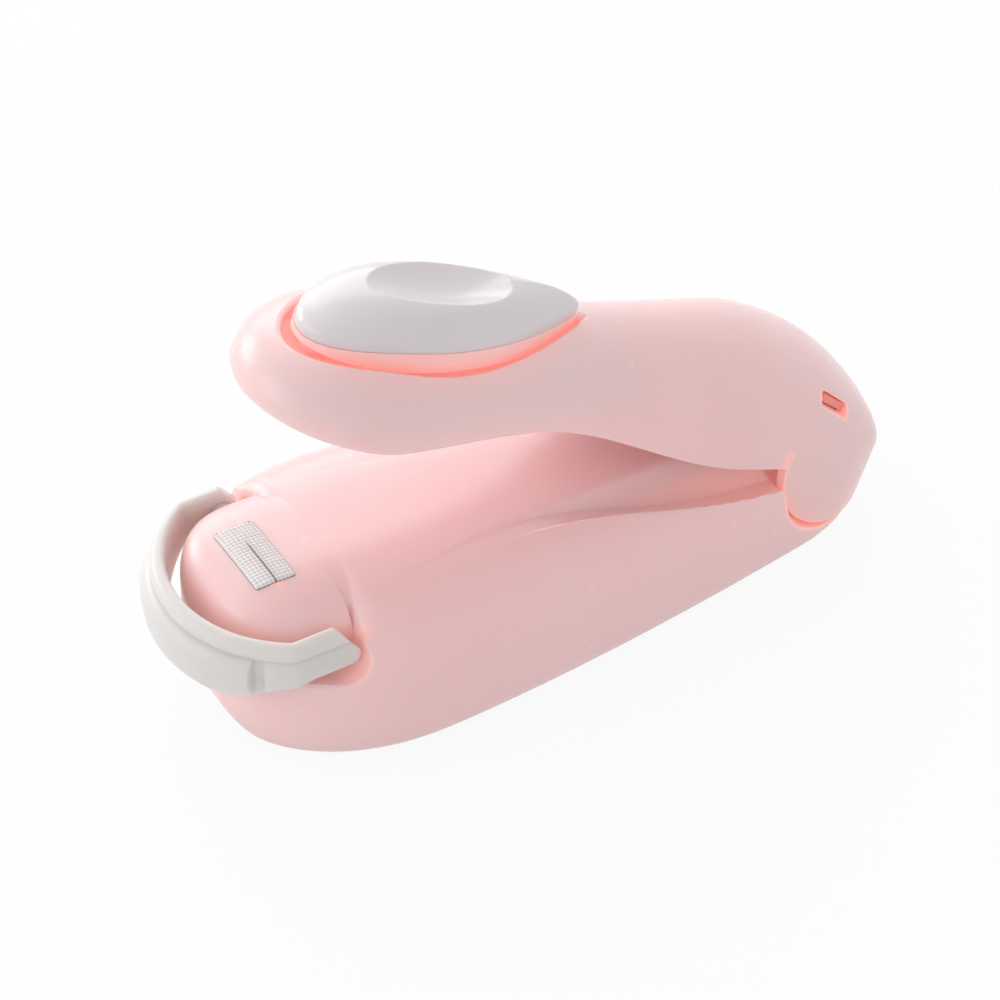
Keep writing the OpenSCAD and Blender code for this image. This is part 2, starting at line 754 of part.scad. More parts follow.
module heater_carriage() {
    color([0.32, 0.24, 0.2])
        heater_pose()
            difference() {
                union() {
                    translate([-flange_front, -flange_half_len, flange_low])
                        cube([flange_front + flange_rear, 2 * flange_half_len, flange_t]);
                    translate([-tape_w / 2 + 0.2, -rib_half_len, flange_low])
                        cube([tape_w - 0.4, 2 * rib_half_len, rib_top - flange_low]);
                }
                for (side = [-1, 1])
                    translate([terminal_p, side * terminal_q, flange_low - over])
                        cylinder(r = rivet_r, h = flange_t + 2 * over);
            }
}

// Wire over the rib, down both its ends and out to the rivets
module heater_wire() {
    r = wire_d / 2;
    end = rib_half_len + r + seat_gap;
    low = flange_top + r + seat_gap;
    top = rib_top + r + seat_gap;
    out = terminal_q - rivet_head_r + 0.3;
    path = [[0, -out, low], [0, -end, low], [0, -end, top], [0, end, top], [0, end, low], [0, out, low]];
    color([0.25, 0.24, 0.24])
        heater_pose()
            tube(path, r, 6, [1, 0, 0]);
}

// Tape over the wire, folded down into the window at both ends
module heater_tape() {
    half = tape_len / 2;
    low = flange_top + wire_d + 0.2;
    crown = 0.12;
    function top_line(d) = [for (k = [0 : 12]) let (q = (half - d) * (k / 6 - 1))
        [q, -d - crown * pow(q / half, 2) - 0.3 * pow(abs(q / half), 10)]];
    outer = concat([[-half, low]], top_line(0), [[half, low]]);
    under = top_line(tape_t);
    inner = concat([[half - tape_t, low]], [for (i = [12 : -1 : 0]) under[i]], [[tape_t - half, low]]);
    color(white)
        heater_pose()
            rotate([90, 0, 90])
                linear_extrude(tape_w, center = true)
                    polygon(concat(outer, inner));
}

module heater_terminals() {
    color(brass)
        heater_pose()
            for (side = [-1, 1])
                translate([terminal_p, side * terminal_q, 0]) {
                    translate([0, 0, flange_low - rivet_head_h])
                        cylinder(r = rivet_head_r, h = rivet_head_h);
                    translate([0, 0, flange_low - rivet_head_h])
                        cylinder(r = rivet_r - 0.005, h = flange_t + 2 * rivet_head_h);
                    translate([0, 0, flange_top])
                        cylinder(r = rivet_head_r, h = rivet_head_h);
                }
}

module carriage_springs() {
    color(steel)
        heater_pose()
            for (side = [-1, 1])
                translate([carriage_spring_p, side * carriage_spring_q, shelf_n + seat_gap])
                    coil_spring(carriage_spring_r, carriage_spring_len - 2 * seat_gap,
                        6, carriage_spring_wire_r);
}

// Bail: a band carried round the crown and along both arms
band_low = bail_top_z - bail_band_h;
grip_end_angle = corner_angle - 16;
drop_len = 13;
drop_start = 2.5;
function grip(a) = 1 - smooth(grip_end_angle, grip_end_angle + 4, abs(a));
function grip_fall(a) =
    grip_drop * smooth(0, drop_len, drop_start + (corner_angle - abs(a)) * PI / 180 * crown_r);
function band_profile(b, low) = [
    [0, low],
    [0, bail_top_z - 0.35],
    [0.3, bail_top_z],
    [0.9, bail_top_z - 0.05],
    [2.1, bail_top_z - 1.7],
    [2.4 + (grip_t - 2.6) * b, max(bail_top_z - 3.6 - 0.6 * b, low + 1.3)],
    [2.4 + (grip_t - 2.4) * b, max(bail_top_z - 5.2 - 0.9 * b, low + 1)],
    [2.3 + (grip_t - 2.6) * b, low + 0.7 + 1.1 * b],
    [1.6 + 0.2 * b, low]];
function band_section(p, out, b, low) = [for (q = band_profile(b, low))
    [p[0] + out[0] * q[0], p[1] + out[1] * q[0], q[1]]];
arm_steps = [[bail_end, 2.4], [bail_end - 0.5, 1], [bail_end - 1.5, 0], [(corner_x - pivot_x) / 2, 0]];
function crown_point(a) = [crown_mid_x - crown_r * cos(a), -crown_r * sin(a)];
function crown_out(a) =
    let (k = smooth(corner_angle - 4, corner_angle, abs(a)), t = a + (a > 0 ? 16 : -16) * k)
    [-cos(t), -sin(t)];

module safety_bail() {
    near = [for (s = arm_steps) band_section([pivot_x + s[0], -bail_half_w], [0, -1], 0, band_low + s[1])];
    far = [for (i = [len(arm_steps) - 1 : -1 : 0]) let (s = arm_steps[i])
        band_section([pivot_x + s[0], bail_half_w], [0, 1], 0, band_low + s[1])];
    crown = [for (k = [0 : 24]) let (a = corner_angle * (1 - k / 12))
        band_section(crown_point(a), crown_out(a), grip(a), band_low - grip_fall(a))];
    color(white) {
        skin(concat(near, crown, far));
        for (side = [-1, 1])
            translate([pivot_x, side * (bail_half_w + 0.4), pivot_z])
                rotate([90 * side, 0, 0])
                    cylinder(r = trunnion_r, h = bail_half_w + 0.4 - (head_half_w - wall - 0.4));
    }
}

// Teardrop outline of the button and its well, blunt in front and drawn out behind
function drop_half(s) = pow(s, 0.5) * pow(1 - s, 0.9) / (pow(5 / 14, 0.5) * pow(9 / 14, 0.9));
function drop_point(k, count, inset) = let (s = (1 - cos(180 * k / count)) / 2)
    [-well_reach + inset * 1.1 + (well_len - 2.4 * inset) * s, (well_half_w - inset) * drop_half(s)];
function drop_outline(inset, count) = concat(
    [for (k = [0 : count]) drop_point(k, count, inset)],
    [for (k = [count - 1 : -1 : 1]) let (p = drop_point(k, count, inset)) [p[0], -p[1]]]);

// Press stem's place along u, so that the pad meets the tape when the arm is closed
foot_u = (tape_x - hinge_x) / cos(closed_tilt) - 0.35;
guide_u = foot_u + 29;
spring_u = foot_u + 16;
pad_v = (tape_z - hinge_z + foot_u * sin(closed_tilt)) / cos(closed_tilt) + pad_clear + button_travel;
pad_half_len = 6.3;
pad_half_w = 2;
pad_seat = 0.2;
foot_t = 1.6;
foot_v = well_floor - well_floor_t - part_gap - foot_t;
pad_t = foot_v + pad_seat - pad_v;
foot_half_len = 6.7;
foot_half_w = 2.8;
carrier_v = well_floor + button_travel + 0.2;
spring_pocket_r = 3.9;
spring_top = cap_seam - 0.6;
guide_r = 1.4;
liner_v = edge_front + 1.6;
liner_t = 1;
liner_rear_u = nose_u + ridge_to;
liner_screw_y = 11.2;
liner_screw_at = [[nose_u + 16, liner_screw_y], [nose_u + 16, -liner_screw_y], [liner_rear_u - 2.6, 0]];
liner_screw_bite = 3;
liner_boss_r = 1.8;
button_spring_r = 3;
button_spring_wire_r = 0.3;

module well_block() {
    translate([0, 0, well_floor - well_floor_t])
        linear_extrude(2 * arm_crown)
            polygon(drop_outline(-wall, 20));
}

window_u = -3.3;
window_v = 7.3;
window_turn = 23;

module arm_shell() {
    color(pink)
        arm_pose(open_tilt)
            difference() {
                arm_outer();
                difference() {
                    arm_inner();
                    well_block();
                    for (p = liner_screw_at)
                        translate([p[0], p[1], liner_v + liner_t + seat_gap])
                            cylinder(r = liner_boss_r, h = arm_crown);
                }
                translate([0, 0, well_floor])
                    linear_extrude(2 * arm_crown)
                        polygon(drop_outline(0, 20));
                translate([foot_u, 0, 0])
                    cylinder(r = stem_r + 0.15, h = arm_crown);
                translate([guide_u, 0, 0])
                    cylinder(r = guide_r + 0.15, h = arm_crown);
                translate([window_u, 0, window_v])
                    rotate([0, window_turn, 0])
                        cube([window_len, 2 * base_w, window_h], center = true);
                for (p = liner_screw_at)
                    translate([p[0], p[1], 0])
                        cylinder(r = screw_r + seat_gap, h = liner_v + liner_t + liner_screw_bite + 0.5);
            }
}

module hinge_cradle() {
    hook_in = 6;
    hook_out = 10.3;
    color(pink)
        arm_pose(open_tilt)
            difference() {
                union() {
                    for (side = [-1, 1])
                        translate([0, side * (cheek_in + cheek_t / 2), 0])
                            rotate([90, 0, 0])
                                linear_extrude(cheek_t, center = true) {
                                    circle(lug_r);
                                    polygon([[-lug_r, 0], [-web_front, web_v], [-web_front, web_v + web_t],
                                        [-web_rear, web_v + web_t], [0, lug_r]]);
                                }
                    translate([-web_front, -cheek_in - cheek_t, web_v])
                        cube([web_front - web_rear, 2 * (cheek_in + cheek_t), web_t]);
                    for (side = [-1, 1]) {
                        translate([window_u, side * (hook_in + hook_out) / 2, window_v])
                            rotate([0, window_turn, 0])
                                cube([window_len - 2 * part_gap, hook_out - hook_in, window_h - 2 * part_gap],
                                    center = true);
                        translate([window_u - 1.2, side * (hook_in + 0.9) - 0.9, web_v + web_t / 2])
                            cube([2.4, 1.8, window_v - web_v - web_t / 2]);
                    }
                }
                rotate([90, 0, 0])
                    cylinder(r = pin_r + run_gap, h = 4 * cheek_in, center = true);
            }
}

// Half width inside the arm's shell at a height
function arm_inner_half(u, v) =
    let (top = arm_top(u) - wall, spring = min(arm_edge(u) + skirt_lip, top - 0.2))
    (arm_half(u) - wall) * round_end((v - spring) / (top - spring), arm_power(u));

module arm_liner() {
    stations = concat([for (t = end_steps(7)) nose_u + nose_plan_len - (nose_plan_len - wall - 1.8) * t],
        [for (k = [1 : 10]) nose_u + nose_plan_len + (arm_reach - nose_plan_len + liner_rear_u) * k / 10]);
    half = [for (u = stations) [u, max(arm_inner_half(u, liner_v + liner_t) - part_gap, 1)]];
    back = [for (i = [len(half) - 1 : -1 : 0]) [half[i][0], -half[i][1]]];
    color(pink)
        arm_pose(open_tilt)
            difference() {
                translate([0, 0, liner_v])
                    linear_extrude(liner_t)
                        polygon(concat(half, back));
                translate([foot_u - foot_half_w - part_gap, -foot_half_len - part_gap, 0])
                    cube([2 * (foot_half_w + part_gap), 2 * (foot_half_len + part_gap), arm_crown]);
                for (p = liner_screw_at)
                    translate([p[0], p[1], 0])
                        cylinder(r = screw_r + run_gap, h = arm_crown);
            }
}

module liner_screws() {
    color(steel)
        arm_pose(open_tilt)
            for (p = liner_screw_at)
                translate([p[0], p[1], liner_v])
                    screw(liner_t + liner_screw_bite);
}

module button_spring() {
    color(steel)
        arm_pose(open_tilt)
            translate([spring_u, 0, well_floor + seat_gap])
                coil_spring(button_spring_r, spring_top - well_floor - 2 * seat_gap, 3, button_spring_wire_r);
}

module button_carrier() {
    color(pink)
        arm_pose(open_tilt)
            difference() {
                union() {
                    intersection() {
                        translate([0, 0, carrier_v])
                            linear_extrude(cap_seam)
                                polygon(drop_outline(well_gap, 20));
                        below_seam(0);
                    }
                    translate([foot_u, 0, foot_v + 0.4])
                        cylinder(r = stem_r, h = carrier_v - foot_v);
                    translate([guide_u, 0, well_floor - well_floor_t - 0.5])
                        cylinder(r = guide_r, h = carrier_v - well_floor + well_floor_t + 1);
                }
                translate([spring_u, 0, well_floor])
                    cylinder(r = spring_pocket_r, h = spring_top - well_floor);
            }
}

// Seam between carrier and cap: level behind, falling to the front with the nose
seam_u = -well_reach + 14;
function seam_v(u) = cap_seam - seam_drop * pow(max(0, (seam_u - u) / (well_reach + seam_u)), 2);
module below_seam(lift) {
    front_u = -well_reach - 2;
    line = [for (k = [0 : 16])
        let (u = k < 14 ? front_u + (seam_u - front_u) * k / 13 : seam_u + 20 * (k - 13))
        [u, seam_v(u) + lift]];
    rotate([90, 0, 0])
        linear_extrude(4 * well_half_w, center = true)
            polygon(concat(line, [[line[16][0], 0], [line[0][0], 0]]));
}

// Height of the cap at a share of the way from its middle to its rim
dish_u = -well_reach + 0.44 * well_len;
cap_mid_u = -well_reach + 0.47 * well_len;
function dish(p) = let (r2 = pow((p[0] - dish_u) / dish_half_len, 2) + pow(p[1] / dish_half_w, 2))
    r2 < 1 ? dish_depth * pow(1 - r2, 1.2) : 0;
function cap_v(share, p) = seam_v(p[0]) + cap_skirt_h + cap_crown_h * (1 - pow(share, 2.2)) - dish(p);

module button_cap() {
    count = 20;
    rim = drop_outline(well_gap - 0.2, count);
    shares = [1, 0.97, 0.92, 0.85, 0.76, 0.66, 0.55, 0.44, 0.33, 0.22, 0.11, 0.03];
    rings = [for (s = shares) [for (p = rim) let (q = [cap_mid_u + (p[0] - cap_mid_u) * s, p[1] * s])
        [q[0], q[1], cap_v(s, q)]]];
    bottom = [for (p = rim) [p[0], p[1], cap_seam - seam_drop - 2]];
    color(white)
        arm_pose(open_tilt)
            difference() {
                mirror([0, 1, 0])
                    skin(concat([bottom], rings));
                below_seam(0.01);
            }
}

module press_foot() {
    color(white)
        arm_pose(open_tilt)
            difference() {
                union() {
                    translate([foot_u - foot_half_w, -foot_half_len, foot_v])
                        cube([2 * foot_half_w, 2 * foot_half_len, foot_t]);
                    translate([foot_u, 0, foot_v])
                        cylinder(r = stem_r + 0.8, h = well_floor - well_floor_t - part_gap - foot_v);
                }
                translate([foot_u, 0, foot_v + 0.4 - seat_gap])
                    cylinder(r = stem_r + 0.02, h = arm_crown);
                translate([foot_u - pad_half_w - seat_gap, -pad_half_len - seat_gap, foot_v - over])
                    cube([2 * (pad_half_w + seat_gap), 2 * (pad_half_len + seat_gap), over + pad_seat]);
            }
}

module press_pad() {
    color([0.9, 0.9, 0.88])
        arm_pose(open_tilt)
            translate([foot_u - pad_half_w, -pad_half_len, pad_v])
                cube([2 * pad_half_w, 2 * pad_half_len, pad_t]);
}

base_shell();
inner_frame();
frame_screws();
battery_cover();
cell_left();
cell_right();
front_contact();
switch_contact();
bridge_contact();
front_cell_spring();
rear_cell_spring();
heater_lead();
hinge_pin();
hinge_spring();
heater_carriage();
heater_wire();
heater_tape();
heater_terminals();
carriage_springs();
safety_bail();
arm_shell();
hinge_cradle();
arm_liner();
liner_screws();
button_spring();
button_cap();
button_carrier();
press_foot();
press_pad();
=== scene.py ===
import json
import math

import bmesh
import bpy
import numpy as np
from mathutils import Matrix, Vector


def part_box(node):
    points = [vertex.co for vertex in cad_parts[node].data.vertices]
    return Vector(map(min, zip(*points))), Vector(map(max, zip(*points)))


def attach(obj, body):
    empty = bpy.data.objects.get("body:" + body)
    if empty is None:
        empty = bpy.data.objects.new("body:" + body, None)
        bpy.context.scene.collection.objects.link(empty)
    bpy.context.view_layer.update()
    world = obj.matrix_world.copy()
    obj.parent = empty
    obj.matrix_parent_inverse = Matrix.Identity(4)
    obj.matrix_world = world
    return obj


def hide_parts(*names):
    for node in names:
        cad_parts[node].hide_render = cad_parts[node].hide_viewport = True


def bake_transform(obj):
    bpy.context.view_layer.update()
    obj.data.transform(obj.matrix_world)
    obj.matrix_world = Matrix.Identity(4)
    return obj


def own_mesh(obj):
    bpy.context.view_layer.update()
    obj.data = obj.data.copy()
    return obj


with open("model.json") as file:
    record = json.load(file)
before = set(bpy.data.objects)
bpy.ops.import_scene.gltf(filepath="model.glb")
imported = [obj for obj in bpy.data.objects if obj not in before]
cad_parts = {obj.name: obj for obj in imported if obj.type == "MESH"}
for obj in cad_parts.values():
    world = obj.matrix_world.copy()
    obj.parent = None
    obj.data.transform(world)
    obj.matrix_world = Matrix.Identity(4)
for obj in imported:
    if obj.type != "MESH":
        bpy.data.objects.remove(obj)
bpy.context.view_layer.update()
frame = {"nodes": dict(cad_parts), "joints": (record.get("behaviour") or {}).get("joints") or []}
scene = bpy.context.scene

# Camera, table and light
# The sealer stands on a white table before a white wall, lit softly from behind and a little from its left.
# A long lens looks down on it from its near front corner.
view_turn = math.radians(30.5)
view_height = math.radians(41)
view_distance = 0.6
view_target = Vector((-0.0008, 0, 0.025))
lens_mm = 166.3
sensor_mm = 36
nearest_seen = 0.01
frame_shift = (-0.01153, -0.05878)

toward_lens = Vector((
    -math.sin(view_turn) * math.cos(view_height),
    -math.cos(view_turn) * math.cos(view_height),
    math.sin(view_height)))
camera_data = bpy.data.cameras.new("camera")
camera_data.sensor_width = sensor_mm
camera_data.lens = lens_mm
camera_data.shift_x, camera_data.shift_y = frame_shift
camera_data.clip_start = nearest_seen
camera = bpy.data.objects.new("camera", camera_data)
camera.location = view_target + view_distance * toward_lens
camera.rotation_euler = toward_lens.to_track_quat("Z", "Y").to_euler()
scene.collection.objects.link(camera)
scene.camera = camera
scene.view_settings.view_transform = "Standard"


class Value:
    """A shader socket that takes part in Python expressions: each operator adds one Math node."""

    def __init__(self, nodes, socket):
        self.nodes = nodes
        self.socket = socket

    def math(self, operation, first, second):
        return self.nodes.add("ShaderNodeMath", "Value", {"operation": operation}, {0: first, 1: second})

    def __add__(self, other):
        return self.math("ADD", self, other)

    def __radd__(self, other):
        return self.math("ADD", other, self)

    def __mul__(self, other):
        return self.math("MULTIPLY", self, other)

    def __rmul__(self, other):
        return self.math("MULTIPLY", other, self)


class Nodes:
    """A node tree in the making."""

    def __init__(self, tree):
        self.tree = tree

    def join(self, value, socket):
        """Links a Value to a socket, or sets a plain number or colour on it."""
        if isinstance(value, Value):
            self.tree.links.new(value.socket, socket)
        else:
            socket.default_value = value

    def add(self, kind, output, settings=None, sockets=None):
        """Adds a node: its settings first, then values or links on its sockets. Gives one of its outputs."""
        node = self.tree.nodes.new(kind)
        for name, value in (settings or {}).items():
            setattr(node, name, value)
        for name, value in (sockets or {}).items():
            self.join(value, node.inputs[name])
        return Value(self, node.outputs[output])

    def seen_directly(self):
        """1 for what the camera sees, also in a mirror or through glass, and 0 for light on the object."""
        path = self.tree.nodes.new("ShaderNodeLightPath")
        shown = [Value(self, path.outputs[f"Is {ray} Ray"]) for ray in ("Camera", "Glossy", "Transmission")]
        return shown[0].math("MINIMUM", shown[0] + shown[1] + shown[2], 1.0)


white = (1, 1, 1, 1)
wall_light = 0.77
world = bpy.data.worlds.new("white_wall")
world.use_nodes = True
scene.world = world
sky = Nodes(world.node_tree)
backdrop = world.node_tree.nodes["Background"]
backdrop.inputs["Color"].default_value = white
sky.join(wall_light + sky.seen_directly() * (1 - wall_light), backdrop.inputs["Strength"])

table_size = 3.0
table_drop = -0.0002
table_white = (0.9, 0.9, 0.9, 1)
shadow_kept = 0.1
table_mesh = bpy.data.meshes.new("table")
corners = np.array([[-1, -1], [1, -1], [1, 1], [-1, 1]]) * table_size / 2
table_mesh.from_pydata([(x, y, table_drop) for x, y in corners], [], [(0, 1, 2, 3)])
table = bpy.data.objects.new("table", table_mesh)
scene.collection.objects.link(table)
table_paint = bpy.data.materials.new("table_white")
table_paint.use_nodes = True
table_nodes = Nodes(table_paint.node_tree)
table_paint.node_tree.nodes.remove(table_paint.node_tree.nodes["Principled BSDF"])
lit = table_nodes.add("ShaderNodeBsdfDiffuse", "BSDF", None, {"Color": table_white})
shown_white = table_nodes.add("ShaderNodeEmission", "Emission", None, {"Color": white, "Strength": 1.0})
table_shader = table_nodes.add("ShaderNodeMixShader", "Shader", None,
                               {0: table_nodes.seen_directly() * (1 - shadow_kept), 1: lit, 2: shown_white})
table_nodes.join(table_shader, table_paint.node_tree.nodes["Material Output"].inputs["Surface"])
table_mesh.materials.append(table_paint)


def soft_lamp(name, place, size, watts):
    """A square lamp of that size in metres, at a place, facing the sealer."""
    data = bpy.data.lights.new(name, "AREA")
    data.size = size
    data.energy = watts
    lamp = bpy.data.objects.new(name, data)
    lamp.location = place
    lamp.rotation_euler = (Vector(place) - view_target).to_track_quat("Z", "Y").to_euler()
    scene.collection.objects.link(lamp)


soft_lamp("window_light", place=(0.25, 0.85, 0.5), size=0.8, watts=4.2)
soft_lamp("low_light", place=(-0.45, 0.95, 0.2), size=0.5, watts=3.0)
soft_lamp("side_light", place=(-0.85, 0.25, 0.35), size=0.5, watts=1.4)

# Base shell
# The lower half: one glossy, slightly see-through pink moulding, with a round head in front, a shelf round
# the head for the bail, two valleys for the arm's skirt and a round bay for the arm's ears.
# Sizes are in millimetres; skin() turns them into metres. From the hinge, u runs along the arm and v up.
MM = 0.001
joints = {joint["name"]: joint for joint in frame["joints"]}
hinge_x, _, hinge_z = np.array(joints["arm_hinge"]["pos_m"]) / MM
pivot_x, _, pivot_z = np.array(joints["bail_pivot"]["pos_m"]) / MM
closed_tilt = math.radians(4)
open_tilt = closed_tilt - math.radians(joints["arm_hinge"]["range_deg"][0])
hinge_place = (hinge_x, hinge_z)
wall = 1.6

# Hull, from its foot over its belly to its deck
base_half_w = 21.5
least_half_w = 0.001
belly_z = 9.0
chin_x = -46.0
chin_r = 3.0
chin_power = 2.2
widest_x = -21.7
tail_x = 50.2
tail_round_x = hinge_x - 7.4
tail_power = 2.6
tail_taper = 7.8
taper_power = 1.6
foot_share = 0.87
foot_power = 2.5
deck_z0 = 22.4
hull_power = 3.0

# Bail's bay, its shelf round the head and the step up to the deck
bay_r = 4.6
bay_len = 3.8
step_x = pivot_x + bay_len
step_half_w = 19.5
shelf_z = pivot_z - bay_r
shelf_edge_r = 0.45
shoulder_r = 3.0

# Head, the place of the heater's tape on it and its overhang in front of the chin
head_half_w = 14.0
head_front_x = -47.2
head_round_x = -34.8
head_plan_power = 2.3
head_front_power = 2.8
head_power = 3.4
head_arch_z = shelf_z + wall
head_least_h = 0.2
head_foot_r = 0.6
head_below_deck = 0.02
head_sink = 6
head_sink_places = (step_x + 1.5, step_x + 16)
head_fillet = 0.08
deck_fillet = 0.82
fillet_places = (9, 13)
tape_x = -38.7
tape_z = 23.2
tape_place = (tape_x, tape_z)
under_z = shelf_z - wall
cove_h = 1.5
overhang_end_x = step_x - 4
far_below = -100.0

# Ears' bay
lobe_r = 10.1
ear_bay_r = lobe_r + 0.5
ear_edge_x = hinge_x - ear_bay_r
ear_edge_r = 0.9

# Edge and plan of the arm's skirt, and the valley that it closes into
skirt_front_v = 4.8
skirt_fall = 5.6
skirt_fall_places = (-52, -17.5)
neck_half_w = 11.0
nose_swell = 4.3
nose_swell_places = (-80.6, -48.3)
nose_round_u = -73.7
nose_round_len = 16.3
nose_plan_power = 2.07
ear_swell = 2.9
ear_swell_places = (-44, -11)
ear_round_len = 6
ear_plan_power = 3
skirt_gap = 0.3
valley_slack = 0.8
valley_slack_places = (-36, -22)
valley_lean = 1.7
valley_fillet = 0.9


def smooth(a, b, x):
    """0 up to a, 1 from b on, and 3t^2 - 2t^3 between them."""
    t = np.clip((x - a) / (b - a), 0, 1)
    return t * t * (3 - 2 * t)


def round_end(t, power):
    """1 up to t = 0, then a superellipse of that power which falls to 0 at t = 1."""
    return (1 - np.clip(t, 0, 1) ** power) ** (1 / power)


def soft_max(a, b, width):
    """The higher of two heights, with a fillet of that width where they cross."""
    h = np.clip(0.5 + (a - b) / (2 * width), 0, 1)
    return b + (a - b) * h + width * h * (1 - h)


def base_half(x):
    """Half width in plan: a superellipse before the widest place, a taper with a round tail behind it."""
    front = base_half_w * round_end((widest_x - x) / (widest_x - chin_x), chin_power)
    taper = tail_taper * np.clip((x - widest_x) / (hinge_x - widest_x), 0, None) ** taper_power
    rear = (base_half_w - taper) * round_end((x - tail_round_x) / (tail_x - tail_round_x), tail_power)
    return np.where(x < widest_x, front, rear)


def deck_z(x):
    """Height of the deck's middle: a straight fall towards the hinge, at the closed arm's tilt."""
    return deck_z0 - (x - step_x) * math.tan(closed_tilt)


def side_y(w, low, deck, z):
    """Half width at a height: a foot that swells to the belly, then a shoulder that closes on the deck."""
    below = w * (foot_share + (1 - foot_share) * round_end(1 - (z - low) / (belly_z - low), foot_power))
    above = w * round_end((z - belly_z) / (deck - belly_z), hull_power)
    return np.where(z < belly_z, below, above)


def arm_edge(u):
    """Height of the skirt's edge above the hinge axis, falling from the nose to the ears."""
    return skirt_front_v - skirt_fall * smooth(*skirt_fall_places, u)


def arm_half(u):
    """Half width of the arm: a wide nose, a neck and ears, with round ends."""
    nose = nose_swell * (1 - smooth(*nose_swell_places, u))
    width = neck_half_w + nose + ear_swell * smooth(*ear_swell_places, u)
    nose_end = round_end((nose_round_u - u) / nose_round_len, nose_plan_power)
    ear_end = round_end((u + ear_round_len) / (ear_round_len + lobe_r), ear_plan_power)
    return width * nose_end * ear_end


def valley_top(x, y, inset):
    """Height of the valley that the closed skirt sinks into: a flat floor with walls that lean out."""
    u = (x - hinge_x) / math.cos(closed_tilt)
    v = arm_edge(u) - skirt_gap
    u = (x - hinge_x - v * math.sin(closed_tilt)) / math.cos(closed_tilt)
    v = arm_edge(u) - skirt_gap
    floor = hinge_z - u * math.sin(closed_tilt) + v * math.cos(closed_tilt)
    off = np.abs(y) - (arm_half(u) - wall / 2)
    slack = np.where(off < 0, valley_slack * smooth(*valley_slack_places, u), 0)
    half = wall / 2 + skirt_gap + inset + slack
    return floor - inset + valley_lean * np.clip(np.abs(off) - half, 0, None)


def head_half(x, inset):
    """Half width of the head: straight sides with a superellipse in front."""
    share = (head_round_x - x) / (head_round_x - head_front_x - inset)
    return (head_half_w - inset) * round_end(share, head_plan_power)


def head_crown(x, inset):
    """Height of the head's middle: the deck's line, rounded down to the shelf in front, sinking behind."""
    sink = head_sink * smooth(*head_sink_places, x)
    top = deck_z(np.maximum(x, tape_x)) - head_below_deck - sink - inset
    share = (tape_x - x) / (tape_x - head_front_x - inset)
    return shelf_z + (top - shelf_z) * round_end(share, head_front_power)


def quarter_rise(share):
    """A quarter of a circle: up from 0 at a share of 0, level at 1."""
    return np.sqrt(1 - (1 - np.clip(share, 0, 1)) ** 2)


